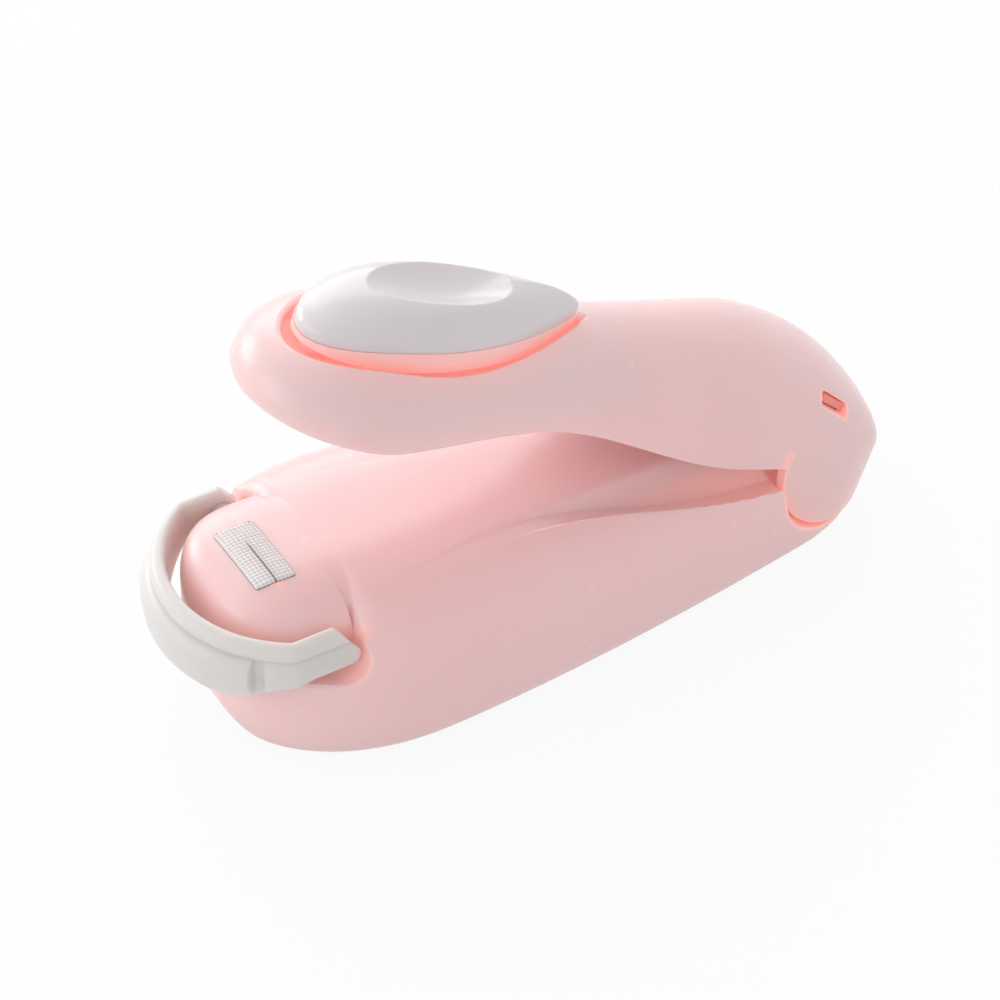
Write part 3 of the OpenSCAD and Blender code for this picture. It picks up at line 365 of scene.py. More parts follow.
def base_rings(x, inset, low):
    """Rings across the base at places along x. From the middle of the underside each goes out to the foot, up
    the side to the cut of the bail's shelf or the ears' bay, in along that cut, and up over the head or the
    deck. In front of the chin only the head's overhang is left, with a flat underside."""
    x = x[:, None]
    step = step_x + inset
    w = np.maximum(base_half(x) - inset, least_half_w)
    deck = deck_z(x) - inset
    shelf_cut = pivot_z - (bay_r + inset) * round_end((x - pivot_x) / (step - pivot_x), 2)
    ear_cut = hinge_z - np.sqrt(np.clip(ear_bay_r ** 2 - (x - hinge_x) ** 2, 0, None))
    between = pivot_z + (hinge_z - pivot_z) * (x - step) / (ear_edge_x - step)
    cut = np.where(x < step, shelf_cut, np.where(x < ear_edge_x, between, ear_cut))
    head_w = head_half(x, inset)

    heights = low + (cut - low) * (1 - np.cos(np.linspace(0, np.pi / 2, 36)))[None] ** 0.8
    side = np.where(x < chin_x, 0, side_y(w, np.minimum(low, belly_z - 1), deck, heights))
    cove = np.where(heights < under_z, 1 - round_end((heights - under_z + cove_h) / cove_h, 2), 1)
    overhang = np.where(x < overhang_end_x, np.clip(head_w - side, 0, None), 0)
    side = side + overhang * cove
    # No edge is rounder than the shelf and the side have room for
    shelf_w = np.clip(side[:, -1:] - head_w - head_foot_r, 0, None)
    shelf_r = np.minimum(shelf_edge_r, 0.6 * shelf_w)
    edge_r = np.where(x < step, shelf_r, np.where(x < ear_edge_x, 0, shelf_edge_r))
    edge_r = np.minimum(edge_r, 0.8 * side[:, -1:]) + 1e-6
    near_edge = np.clip(heights - cut + edge_r, 0, edge_r)
    side = side - (edge_r - np.sqrt(edge_r ** 2 - near_edge ** 2))
    under = side[:, :1] * np.linspace(0, 1, 6)[None, :-1]

    start = side[:, -1:]
    behind_step = head_half_w * np.minimum(start / step_half_w, 1)
    arch_w = np.where(x < step, np.minimum(head_w, start), behind_step)
    foot_y = np.minimum(arch_w + head_foot_r, start)
    shelf_y = start + (foot_y - start) * np.linspace(0, 1, 12)[None, 1:]
    crown = head_crown(x, inset)
    spring = np.minimum(head_arch_z, crown - head_least_h)
    turn = np.linspace(0, np.pi / 2, 9)[None, 1:]
    wall_y = foot_y + (arch_w - foot_y) * np.sin(turn)
    wall_z = cut + (spring - cut) * (1 - np.cos(turn))
    angle = np.linspace(0, np.pi / 2, 47)[None, 1:]
    arch_y = arch_w * np.cos(angle) ** (2 / head_power)
    arch_y[:, -1] = 0
    arch_z = spring + (crown - spring) * np.sin(angle) ** (2 / head_power)

    top_y = np.concatenate([shelf_y, wall_y, arch_y], axis=1)
    no_head = np.full_like(shelf_y, far_below)
    head_z = np.concatenate([no_head, wall_z + far_below * (x > step), arch_z], axis=1)
    hull = belly_z + (deck - belly_z) * round_end(top_y / w, hull_power)
    hull = -soft_max(-hull, -valley_top(x, top_y, inset), valley_fillet)
    rise = np.where(x < step, 0, quarter_rise((x - step) / shoulder_r))
    fall = np.where(x > ear_edge_x, 0, quarter_rise((ear_edge_x - x) / ear_edge_r))
    body = cut + (np.maximum(hull, cut) - cut) * rise * fall
    body = np.where((hull < cut) & (x > step + shoulder_r) & (x <= ear_edge_x), hull, body)
    fillet = head_fillet + deck_fillet * smooth(*fillet_places, top_y)
    top_z = np.where(x > ear_edge_x, body, soft_max(head_z, body, fillet))

    half_y = np.concatenate([under, side, top_y], axis=1)
    half_z = np.concatenate([low + 0 * under, heights, top_z], axis=1)
    return mirrored(x, half_y, np.where(x < chin_x, np.maximum(half_z, under_z), half_z))


def mirrored(x, half_y, half_z):
    """Whole rings from half outlines that begin and end in the plane of symmetry."""
    y = np.concatenate([half_y, -half_y[:, -2:0:-1]], axis=1)
    z = np.concatenate([half_z, half_z[:, -2:0:-1]], axis=1)
    return np.stack([x + 0 * y, y, z], axis=-1)


def skin(name, rings, capped=False):
    """Mesh over rings of equal point count: two triangles between each four neighbours. Points that fall
    together become one, faces in the plane of symmetry are left out, capped ends close on their middles."""
    if capped:
        ends = [np.repeat(ring.mean(axis=0)[None], len(ring), axis=0)[None] for ring in (rings[0], rings[-1])]
        rings = np.concatenate([ends[0], rings, ends[1]])
    points, index = np.unique(np.round(rings.reshape(-1, 3) * MM, 8), axis=0, return_inverse=True)
    grid = index.reshape(rings.shape[:2])
    beside = np.roll(grid, -1, axis=1)
    a, b, c, d = grid[:-1], beside[:-1], beside[1:], grid[1:]
    faces = np.concatenate([np.stack([a, b, c], -1).reshape(-1, 3), np.stack([a, c, d], -1).reshape(-1, 3)])
    distinct = (faces[:, 0] != faces[:, 1]) & (faces[:, 1] != faces[:, 2]) & (faces[:, 2] != faces[:, 0])
    off_middle = np.abs(points[faces][:, :, 1]).max(axis=1) > 1e-7
    mesh = bpy.data.meshes.new(name)
    mesh.from_pydata(points.tolist(), [], faces[distinct & off_middle].tolist())
    work = bmesh.new()
    work.from_mesh(mesh)
    bmesh.ops.recalc_face_normals(work, faces=work.faces)
    work.to_mesh(mesh)
    work.free()
    piece = bpy.data.objects.new(name, mesh)
    scene.collection.objects.link(piece)
    return piece


def combine(piece, others, operation):
    """Cuts the other solids out of a piece (DIFFERENCE) or joins them to it (UNION), and removes them."""
    for other in others:
        step = piece.modifiers.new("step", "BOOLEAN")
        step.operation = operation
        step.solver = "EXACT"
        step.object = other
    result = bpy.data.meshes.new_from_object(piece.evaluated_get(bpy.context.evaluated_depsgraph_get()))
    piece.modifiers.clear()
    before = piece.data
    piece.data = result
    bpy.data.meshes.remove(before)
    result.name = piece.name
    for other in others:
        bpy.data.objects.remove(other)


def points_of(piece):
    """A piece's points in millimetres, as columns x, y, z."""
    places = np.empty(3 * len(piece.data.vertices))
    piece.data.vertices.foreach_get("co", places)
    return places.reshape(-1, 3).T / MM


def mark(piece, name, amount):
    """Stores a value from 0 to 1 at each point of a piece, under a name, for its finish to read."""
    layer = piece.data.attributes.new(name, "FLOAT", "POINT")
    layer.data.foreach_set("value", np.clip(amount, 0, 1).astype(np.float32))


def shade(piece, material, sharp_deg=32):
    """Smooth shading with edges kept sharp past an angle, and the piece's material."""
    piece.data.shade_smooth()
    piece.data.set_sharp_from_angle(angle=math.radians(sharp_deg))
    piece.data.materials.clear()
    piece.data.materials.append(material)


class Finish(Nodes):
    """A surface finish: a Principled shader with constants on its sockets, and the piece's coordinates."""

    def __init__(self, name, constants):
        self.material = bpy.data.materials.new(name)
        self.material.use_nodes = True
        super().__init__(self.material.node_tree)
        self.shader = self.tree.nodes["Principled BSDF"]
        for socket, value in constants.items():
            self.shader.inputs[socket].default_value = value
        self.place = self.add("ShaderNodeTexCoord", "Object")

    def noise(self, size, detail=2.0):
        """Soft noise from 0 to 1 with features of about that size in millimetres."""
        return self.add("ShaderNodeTexNoise", "Fac", None,
                        {"Vector": self.place, "Scale": 1 / (size * MM), "Detail": detail})

    def blend(self, mask, first, second):
        """A colour between two, by a mask."""
        return self.add("ShaderNodeMix", 2, {"data_type": "RGBA"}, {0: mask, 6: first, 7: second})

    def marked(self, name):
        """What mark() stored on the piece under a name."""
        return self.add("ShaderNodeAttribute", "Fac", {"attribute_name": name})

    def paint(self, socket, value):
        """Puts a value or a colour on one of the shader's sockets."""
        self.join(value, self.shader.inputs[socket])

    def relief(self, height, depth):
        """Bumps of that depth in millimetres."""
        normal = self.add("ShaderNodeBump", "Normal", None, {"Height": height, "Distance": depth * MM})
        self.paint("Normal", normal)


pink_light = (0.93, 0.655, 0.655, 1)
pink_deep = (0.91, 0.60, 0.60, 1)
gap_red = (0.97, 0.44, 0.39, 1)
glow_reach = (0.0035, 0.0011, 0.0010)
carried_red = (0.3, 0.16, 0.14, 1)
dark = (0, 0, 0, 1)


def pink_moulding(name):
    """Glossy pink plastic that lets red light through: faint clouding, a deeper red where light gathers
    between two pieces and where light carried inside the plastic comes out, and fine orange peel."""
    finish = Finish(name, {"Subsurface Weight": 0.6, "Subsurface Radius": glow_reach, "Subsurface Scale": 1.0,
                           "IOR": 1.46, "Emission Strength": 1.0})
    clouds = finish.noise(size=14, detail=3.0)
    gathered = finish.marked("red_light")
    pink = finish.blend(clouds, pink_light, pink_deep)
    finish.paint("Base Color", finish.blend(gathered, pink, gap_red))
    finish.paint("Emission Color", finish.blend(gathered, dark, carried_red))
    finish.paint("Roughness", 0.2 + 0.1 * finish.noise(size=3.0))
    finish.relief(finish.noise(size=0.9), depth=0.006)
    return finish


tip_places = np.linspace(0, 1, 10) ** 1.8 * (chin_x - head_front_x) + head_front_x
chin_places = chin_x + (widest_x - chin_x) * (1 - np.cos(np.linspace(0, np.pi / 2, 60)))
bay_places = pivot_x + bay_len * np.sin(np.linspace(0, np.pi / 2, 30))
shoulder_places = step_x + shoulder_r * (1 - np.cos(np.linspace(0, np.pi / 2, 16)))
deck_places = np.linspace(widest_x, ear_edge_x - ear_edge_r, 76)
edge_places = ear_edge_x - ear_edge_r * np.cos(np.linspace(0, np.pi / 2, 9))
lobe_places = hinge_x - ear_bay_r * np.cos(np.linspace(0, np.pi / 2, 26))
tail_places = hinge_x + (tail_x - hinge_x) * np.sin(np.linspace(0, np.pi / 2, 26))
base_places = np.unique(np.round(np.concatenate([
    tip_places, chin_places, bay_places, shoulder_places,
    deck_places, edge_places, lobe_places, tail_places]), 4))
chin_low = chin_r - np.sqrt(chin_r ** 2 - np.clip(chin_x + chin_r - base_places, 0, chin_r) ** 2)
base = skin("base_body", base_rings(base_places, 0, chin_low[:, None]))

cavity_front_x = -43.6
cavity_rear_x = ear_edge_x - 2 * wall
cavity_places = np.concatenate([np.linspace(cavity_front_x, step_x + wall, 50),
                                np.linspace(step_x + wall, cavity_rear_x, 50)[1:]])
cavity_low = -1.0
cavity = skin("cavity", base_rings(cavity_places, wall, cavity_low), capped=True)


def tilted(points, place, tilt):
    """Points (along, y, up) turned about Y by a tilt and put at a place (x, z)."""
    along, y, up = np.moveaxis(points, -1, 0)
    return np.stack([place[0] + along * math.cos(tilt) + up * math.sin(tilt), y,
                     place[1] - along * math.sin(tilt) + up * math.cos(tilt)], axis=-1)


def untilted(x, z, place, tilt):
    """The other way round: how far points lie along and up from a place, in its tilted frame."""
    along = (x - place[0]) * math.cos(tilt) - (z - place[1]) * math.sin(tilt)
    up = (x - place[0]) * math.sin(tilt) + (z - place[1]) * math.cos(tilt)
    return along, up


def prism(outline, levels, axis=2):
    """Rings of one flat outline at levels along an axis: 1 for Y, 2 for Z."""
    return np.stack([np.insert(outline, axis, level, axis=1) for level in levels])


def glow(distance, strength, near, far):
    """Red light of a strength up to a near distance, fading smoothly to none at a far one."""
    return strength * (1 - smooth(near, far, distance))


def rounded(outline, radius, steps=6):
    """A closed outline with each corner replaced by a quadratic curve that starts a radius before it."""
    before = np.roll(outline, 1, axis=-2) - outline
    after = np.roll(outline, -1, axis=-2) - outline
    reach_before = np.minimum(radius / np.linalg.norm(before, axis=-1, keepdims=True), 0.49)
    reach_after = np.minimum(radius / np.linalg.norm(after, axis=-1, keepdims=True), 0.49)
    first = (outline + before * reach_before)[..., None, :]
    last = (outline + after * reach_after)[..., None, :]
    corner = outline[..., None, :]
    t = np.linspace(0, 1, steps)[:, None]
    curve = (1 - t) ** 2 * first + 2 * t * (1 - t) * corner + t ** 2 * last
    return curve.reshape(*outline.shape[:-2], -1, outline.shape[-1])


tape_w = 5.7
tape_len = 12.0
window_gap = 0.03
window_corner_r = 0.6
window_levels = (-4.8, 3.0)
square = np.array([[-1.0, -1.0], [1, -1], [1, 1], [-1, 1]])
window_outline = rounded(square * (np.array([tape_w, tape_len]) / 2 + window_gap), window_corner_r)
window_rings = tilted(prism(window_outline, window_levels), tape_place, closed_tilt)
combine(base, [cavity, skin("tape_window", window_rings, capped=True)], "DIFFERENCE")

lug_sides = (5.2, 7.6)
lug_corner_r = 1.8
lug_points = np.array([[-10.9, -7.9], [-10.9, 2.0], [-2.0, 4.6], [3.2, 4.2], [4.6, 0.0], [2.4, -10.8]])
lug_outline = rounded(lug_points, lug_corner_r) + np.array(hinge_place)
lugs = [skin("lug", prism(lug_outline, [side * y for y in lug_sides], 1), capped=True) for side in (-1, 1)]
combine(base, lugs, "UNION")

# Red light gathers round the ears, in the valleys, under the head's rim, at the step and at the tape's ends
fold_y = 15.6
fold_z = 17.6
fold_flat = 0.6
x, y, z = points_of(base)
from_ears = np.abs(np.hypot(x - hinge_x, z - hinge_z) - ear_bay_r)
by_ears = glow(from_ears, strength=0.6, near=0.05, far=0.6) * (x > ear_edge_x - 2)
hull_share = np.abs(y) / np.maximum(base_half(x), 0.1)
hull_top = belly_z + (deck_z(x) - belly_z) * round_end(hull_share, hull_power)
in_valley = 0.45 * smooth(1.0, 4.0, hull_top - z) * smooth(2, 30, x) * (z > belly_z)
on_rim = (z > shelf_z - 0.1) * (x < step_x) * (np.abs(y) < head_half_w + 0.7)
by_rim = glow(z, strength=0.35, near=18.2, far=21.2) * on_rim
from_fold = np.sqrt((x - step_x - 0.2) ** 2 + (np.abs(y) - fold_y) ** 2 + (fold_flat * (z - fold_z)) ** 2)
by_fold = glow(from_fold, strength=0.4, near=0.3, far=2.2)
from_shelf = np.abs(np.hypot((x - pivot_x) * bay_r / bay_len, z - pivot_z) - bay_r)
on_shelf = glow(from_shelf, strength=0.5, near=0.05, far=0.4) * smooth(pivot_x - 1, pivot_x + 2, x)
on_shelf = on_shelf * (np.abs(y) > head_half_w) * (z < pivot_z + 1)
off_wire, _ = untilted(x, z, tape_place, closed_tilt)
from_notch = np.hypot(off_wire, np.abs(y) - tape_len / 2 - 0.2)
by_notch = glow(from_notch, strength=0.8, near=0.2, far=1.2)
mark(base, "red_light", np.max([by_ears, in_valley, by_rim, by_fold, on_shelf, by_notch], axis=0))
shade(base, pink_moulding("base_pink").material)
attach(base, "base")
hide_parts("base_shell")

# Arm shell
# The lever above the base: the same pink plastic, a hollow moulding with a rounded lip round the button's
# well, a thin upright skirt, two ears that turn in the base's bay and a slot for a snap hook in each ear.
nose_u = -90.0
nose_side_len = 17.6
nose_side_power = 2.16
ridge_v = 15.7
ridge_drop = 0.6
ridge_places = (-62, -36)
ridge_power = 2.13
ridge_power_drop = 0.16
rear_round_len = 16.7
rear_power = 1.6
skirt_lip = 1.2
skirt_edge_r = 0.35
nose_edge_r = 0.5
nose_edge_places = (-76, -50)
back_least_h = 0.2
back_least_half_w = 0.4
well_front_u = -86.0
well_len = 44.5
well_half_w = 9.5
well_floor = 11.2
drop_widest = 5 / 14
front_power = 0.5
rear_point_power = 0.9
inset_front = 1.1
inset_len = 2.4
lip_r = 1.0
lip_end_deg = 72


def arm_top(u):
    """Height of the arm's ridge: a superellipse at the nose, a level back, a round fall behind the ears."""
    crown = ridge_v - ridge_drop * smooth(*ridge_places, u)
    start = skirt_front_v + skirt_lip
    nose = start + (crown - start) * round_end((nose_u + nose_side_len - u) / nose_side_len, nose_side_power)
    rear = crown * round_end((u + rear_round_len) / (lobe_r + rear_round_len), rear_power)
    return np.where(u < nose_u + nose_side_len, nose, rear)


def arm_low(u):
    """Height of the arm's lower edge: the skirt, then the round ears about the hinge."""
    ear = -np.sqrt(np.clip(lobe_r ** 2 - u ** 2, 0, None))
    return np.where(np.abs(u) < lobe_r, np.minimum(arm_edge(u), ear), arm_edge(u))


def arm_spring(u, inset):
    """Height at which the upright skirt turns into the arched back."""
    return np.minimum(arm_edge(u) + skirt_lip, arm_top(u) - inset - back_least_h)


def back_power(u):
    """Power of the superellipse across the back: a little higher, so flatter, in front."""
    return ridge_power - ridge_power_drop * smooth(*ridge_places, u)


def arm_back(u, y):
    """Height of the arched back: a superellipse across the arm."""
    spring = arm_spring(u, 0)
    share = np.abs(y) / np.maximum(arm_half(u), back_least_half_w)
    return spring + (arm_top(u) - spring) * round_end(share, back_power(u))


def arm_rings(u, inset, drop):
    """Rings across the arm: out along the underside, round the skirt's edge, up the skirt, over the back.
    Rings with an inset are the hollow's, which stays below the button's well."""
    u = u[:, None]
    half = np.maximum(arm_half(u) - inset, back_least_half_w if inset else 1e-4)
    spring = arm_spring(u, inset)
    low = np.minimum(arm_low(u), spring - back_least_h) - drop
    edge_r = np.minimum(skirt_edge_r + nose_edge_r * (1 - smooth(*nose_edge_places, u)), 0.4 * half)
    turn = np.linspace(0, np.pi / 2, 5)[None]
    edge_y = half - edge_r + edge_r * np.sin(turn)
    edge_z = low + np.minimum(edge_r, 0.5 * (spring - low)) * (1 - np.cos(turn))
    under_y = edge_y[:, :1] * np.linspace(0, 1, 6)[None, :-1]
    up = np.linspace(0, 1, 6)[None, 1:]
    skirt_z = edge_z[:, -1:] + (spring - edge_z[:, -1:]) * up
    angle = np.linspace(0, np.pi / 2, 49)[None, 1:]
    arch_y = half * np.cos(angle) ** (2 / back_power(u))
    arch_y[:, -1] = 0
    arch_z = spring + (arm_top(u) - inset - spring) * np.sin(angle) ** (2 / back_power(u))
    if inset:
        share = (u - well_front_u + inset_front * wall) / (well_len + inset_len * wall)
        over_well = np.abs(arch_y) < (well_half_w + wall) * drop_half(share)
        arch_z = np.where(over_well, np.minimum(arch_z, well_floor - 1), arch_z)
    half_y = np.concatenate([under_y, edge_y, half + 0 * up, arch_y], axis=1)
    half_z = np.concatenate([low + 0 * under_y, edge_z, skirt_z, arch_z], axis=1)
    return mirrored(u, half_y, half_z)


def drop_half(share):
    """Half width of the teardrop along its length, 1 at its widest: blunt in front, drawn out behind."""
    share = np.clip(share, 0, 1)
    most = drop_widest ** front_power * (1 - drop_widest) ** rear_point_power
    return share ** front_power * (1 - share) ** rear_point_power / most


def drop_outline(inset, count=180):
    """Teardrop outline of the button and its well, drawn in by an inset, as (u, y) points."""
    turn = np.linspace(0, 2 * np.pi, count, endpoint=False)
    share = (1 - np.cos(turn)) / 2
    u = well_front_u + inset_front * inset + (well_len - inset_len * inset) * share
    return np.column_stack([u, np.sign(np.sin(turn)) * (well_half_w - inset) * drop_half(share)])


def on_arm(points):
    """Points in the arm's own frame (u, y, v), put where the open arm is."""
    return tilted(points, hinge_place, open_tilt)


nose_places = nose_u + nose_side_len * (1 - np.cos(np.linspace(0, np.pi / 2, 44)))
back_places = np.linspace(nose_u + nose_side_len, -lobe_r, 96)
ear_places = -lobe_r * np.cos(np.linspace(0, np.pi, 60))
arm_places = np.unique(np.round(np.concatenate([nose_places, back_places, ear_places]), 4))
arm = skin("arm_body", on_arm(arm_rings(arm_places, 0, 0)))

hollow_rear_u = 0.84 * lobe_r
hollow_drop = 4
hollow_places = np.linspace(nose_u + wall, hollow_rear_u, 110)
hollow = skin("hollow", on_arm(arm_rings(hollow_places, wall, hollow_drop)), capped=True)

lip_turn = np.radians(np.linspace(0, lip_end_deg, 9))
well_foot = np.array([[0.5, 0], [0.15, 0.15], [0, 0.6]])
well_mouth = -lip_r * 0.95 - 0.9
well_above = arm_top(nose_u + nose_side_len) + 3
well_insets = np.concatenate([well_foot[:, 0], -lip_r * (1 - np.cos(lip_turn)), [well_mouth] * 2])
well_outlines = np.stack([drop_outline(inset) for inset in well_insets])
well_surface = arm_back(well_outlines[..., 0], well_outlines[..., 1])
well_heights = np.concatenate([
    np.repeat(well_foot[:, 1:] + well_floor, well_outlines.shape[1], axis=1),
    well_surface[3:-2] - lip_r * (1 - np.sin(lip_turn))[:, None],
    well_surface[-1:] + 1.2, np.full_like(well_surface[-1:], well_above)])
well = skin("well", on_arm(np.dstack([well_outlines, well_heights])), capped=True)

hook_slot_size = np.array([5.2, 1.6])
hook_slot_place = (-3.3, 7.3)
hook_slot_turn = math.radians(23)
hook_slot_corner_r = 0.5
hook_slot_reach = 20.0
slot_outline = rounded(square * hook_slot_size / 2, hook_slot_corner_r)
slot_rings = prism(slot_outline, (-hook_slot_reach, hook_slot_reach), 1)
slot_rings = tilted(slot_rings, hook_slot_place, hook_slot_turn)
hook_slots = skin("hook_slots", on_arm(slot_rings), capped=True)
combine(arm, [hollow, well, hook_slots], "DIFFERENCE")

# Red light gathers in the well, on the ears, at the corner in front of them and in the slots
ear_corner = (-10.6, -1.0)
x, y, z = points_of(arm)
u, v = untilted(x, z, hinge_place, open_tilt)
drop_edge = well_half_w * drop_half((u - well_front_u) / well_len) + 0.3
in_well = 0.8 * smooth(0.2, 1.4, arm_back(u, y) - v) * (np.abs(y) < drop_edge) * (v > well_floor - 0.5)
by_bay = 0.6 * smooth(lobe_r - 0.5, lobe_r - 0.02, np.hypot(u, v)) * (v < 2) * (u > -lobe_r - 1)
from_corner = np.hypot(u - ear_corner[0], v - ear_corner[1])
by_corner = glow(from_corner, strength=0.5, near=0.2, far=1.4)
slot_u, slot_v = untilted(u, v, hook_slot_place, hook_slot_turn)
from_slot = np.hypot(np.clip(np.abs(slot_u) - hook_slot_size[0] / 2, 0, None),
                     np.clip(np.abs(slot_v) - hook_slot_size[1] / 2, 0, None))
by_slot = glow(from_slot, strength=0.9, near=0.02, far=0.15)
mark(arm, "red_light", np.max([in_well, by_bay, by_corner, by_slot], axis=0))
shade(arm, pink_moulding("arm_pink").material)
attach(arm, "arm")
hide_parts("arm_shell")

# Button cap
# The white thumb button: a glossy moulded teardrop with an upright rim, a crowned top and a shallow thumb
# dish. It is snapped onto the pink carrier below it.
cap_inset = 1.0
cap_seam = 15.6
seam_fall = 2.2
seam_fall_u = -72
seam_fall_len = 14
seam_gap = 0.01
cap_rim_h = 1.6
cap_crown_h = 3.7
cap_crown_power = 4
cap_mid_u = well_front_u + 0.47 * well_len
rim_start = 0.945
rim_share = 0.055
rim_r = 0.5
dish_u = well_front_u + 0.45 * well_len
dish_half = (10.8, 4.9)
dish_depth = 1.9
dish_power = 0.9


def seam_v(u):
    """Height of the seam under the cap: level behind, falling by a parabola towards the front."""
    return cap_seam - seam_fall * np.clip((seam_fall_u - u) / seam_fall_len, 0, None) ** 2


def cap_height(share, u, y):
    """Height of the cap at a share of the way from its middle to its rim, less the thumb dish."""
    r2 = ((u - dish_u) / dish_half[0]) ** 2 + (y / dish_half[1]) ** 2
    dish = dish_depth * np.clip(1 - r2, 0, None) ** dish_power
    return seam_v(u) + cap_rim_h + cap_crown_h * (1 - share ** cap_crown_power) - dish


def wall_rings(outline, heights):
    """Rings of an upright wall over an outline, one for each row of heights."""
    return np.dstack([np.stack([outline] * len(heights)), heights])


cap_rim = drop_outline(cap_inset)
cap_shares = np.concatenate([np.linspace(1, 0.96, 6), np.linspace(rim_start, 0.0, 60)])[:, None]
cap_u = cap_mid_u + (cap_rim[:, 0] - cap_mid_u) * cap_shares
cap_y = cap_rim[:, 1] * cap_shares
rim_round = rim_r * (1 - np.sqrt(1 - np.clip((cap_shares - rim_start) / rim_share, 0, 1) ** 2))
cap_v = cap_height(cap_shares, cap_u, cap_y) - rim_round
rim_v = seam_v(cap_rim[:, 0]) + seam_gap
rim_rings = wall_rings(cap_rim, rim_v + (cap_v[0] - rim_v) * np.linspace(0, 1, 5)[:-1, None])
floor_shares = np.linspace(0, 1, 6)[:-1, None, None]
cap_floor = rim_rings[:1] + (1 - floor_shares) * (np.array([cap_mid_u, 0, 0]) - rim_rings[:1])
cap_floor[..., 2] = seam_v(cap_floor[..., 0]) + seam_gap
cap_rings = np.concatenate([cap_floor, rim_rings, np.stack([cap_u, cap_y, cap_v], axis=-1)])
cap = skin("button_top", on_arm(cap_rings))
cap_white = (0.74, 0.70, 0.72, 1)
cap_shadow = (0.70, 0.655, 0.68, 1)
cap_glow_reach = (0.002, 0.0015, 0.0015)
cap_sharp_deg = 40
cap_finish = Finish("cap_white", {"IOR": 1.48, "Subsurface Weight": 0.2, "Subsurface Radius": cap_glow_reach,
                                  "Subsurface Scale": 1.0})
cap_finish.paint("Base Color", cap_finish.blend(cap_finish.noise(size=9), cap_white, cap_shadow))
cap_finish.paint("Roughness", 0.16 + 0.1 * cap_finish.noise(size=2.5))
cap_finish.relief(cap_finish.noise(size=0.8), depth=0.005)
shade(cap, cap_finish.material, cap_sharp_deg)
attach(cap, "button")
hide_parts("button_cap")

# Button carrier
# The pink body that the cap is snapped onto: a plain teardrop that nearly fills the well, with a press stem
# in front, a guide pin behind and a pocket for the button's spring between them. It is moulded in the same
# plastic as the shells, and red light gathers round it.
carrier_inset = 0.8
carrier_gap = 0.03
button_travel = 1.5
carrier_v = well_floor + button_travel + 0.2
stem_r = 1.8
stem_low = 8.8
guide_r = 1.4
guide_low = well_floor - 1.5
rod_root = 0.6
foot_u = (tape_x - hinge_x) / math.cos(closed_tilt) - 0.35
guide_u = foot_u + 29
spring_u = foot_u + 16
spring_pocket_r = 3.9
spring_pocket_levels = (carrier_v - 0.5, cap_seam - 0.6)
carrier_red = 0.55


def circle(radius, middle):
    """Points round a circle about a middle."""
    turn = np.linspace(0, 2 * np.pi, 48, endpoint=False)
    return np.column_stack([middle[0] + radius * np.cos(turn), middle[1] + radius * np.sin(turn)])


def arm_rod(name, u, radius, levels):
    """A round rod that stands square on the arm, at a place along it, between two levels."""
    return skin(name, on_arm(prism(circle(radius, (u, 0)), levels)), capped=True)


carrier_wall = drop_outline(carrier_inset)
carrier_top = seam_v(carrier_wall[:, 0]) - carrier_gap
carrier_heights = carrier_v + (carrier_top - carrier_v) * np.linspace(0, 1, 5)[:, None]
carrier = skin("carrier_body", on_arm(wall_rings(carrier_wall, carrier_heights)), capped=True)
stem = arm_rod("stem", foot_u, stem_r, (stem_low, carrier_v + rod_root))
guide = arm_rod("guide", guide_u, guide_r, (guide_low, carrier_v + rod_root))
combine(carrier, [stem, guide], "UNION")
pocket = arm_rod("pocket", spring_u, spring_pocket_r, spring_pocket_levels)
combine(carrier, [pocket], "DIFFERENCE")
mark(carrier, "red_light", np.full(len(carrier.data.vertices), carrier_red))
shade(carrier, pink_moulding("carrier_pink").material)
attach(carrier, "button")
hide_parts("button_carrier")

# Safety bail
# The white U-shaped lock round the head: one satin moulding with a rounded bead along its top edge, a fine
# crease under the bead, a swelling grip in front with a small recess at each end, and two inner pins.
bail_front_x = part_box("safety_bail")[0].x / MM
bail_half_w = 14.7
crown_r = 17.3
grip_t = 3.5
bail_top_z = 20.8
band_low = bail_top_z - 6.5
band_round_r = 0.8
grip_drop = 3.9
grip_drop_len = 13
grip_drop_start = -2.8
grip_end = 42.0
grip_step = 1.4
recess_end = 48.0
recess_step = 0.8
recess_depth = 0.45
corner_turn = 16
corner_turn_len = 4
bail_end = 3.2
tip_len = 0.9
tip_lift = 0.8
tip_slant = 2.9
tip_slant_len = 6
tip_fall = 3.8
tip_round_len = 0.5
tip_shrink = 0.3
crown_mid_x = bail_front_x + grip_t + crown_r
corner = math.degrees(math.asin(bail_half_w / crown_r))
corner_x = crown_mid_x - crown_r * math.cos(math.radians(corner))


def band_outline(bulge, drop, lift, recess):
    """Outline of the band at each station as (outwards, height): flat inside, a round bead on top, a crease
    under it, then a belly that bulges and drops at the grip and draws in at its recess."""
    b, d, k, r = (column[:, None] for column in (bulge, drop, lift, recess * recess_depth))
    zero = 0 * b
    low = band_low - d + k
    top = bail_top_z + zero
    inside_out, inside_z = [zero, zero], [low, top]
    bead_out = [zero + 1.3, zero + 2.0, zero + 2.0, zero + 1.5]
    bead_z = [top, top - 0.9, top - 2.05, top - 2.4]
    swell_out = [1.86 + 0.5 * b - r, 2.3 + 1.1 * b - r, 2.36 + 1.13 * b - r]
    swell_z = [top - 2.75, top - 3.9 - 0.4 * b, top - 4.9 - 1.0 * b]
    foot_out = [2.3 + 0.86 * b - r, 2.22 + 0.8 * b - r, 1.5 + 0.1 * b]
    foot_z = [low + 1.0 + 1.3 * b, low + 0.8 + 1.1 * b, low]
    out = np.concatenate(inside_out + bead_out + swell_out + foot_out, axis=1)
    height = np.concatenate(inside_z + bead_z + swell_z + foot_z, axis=1)
    return np.stack([out, np.maximum(height, low)], axis=-1)


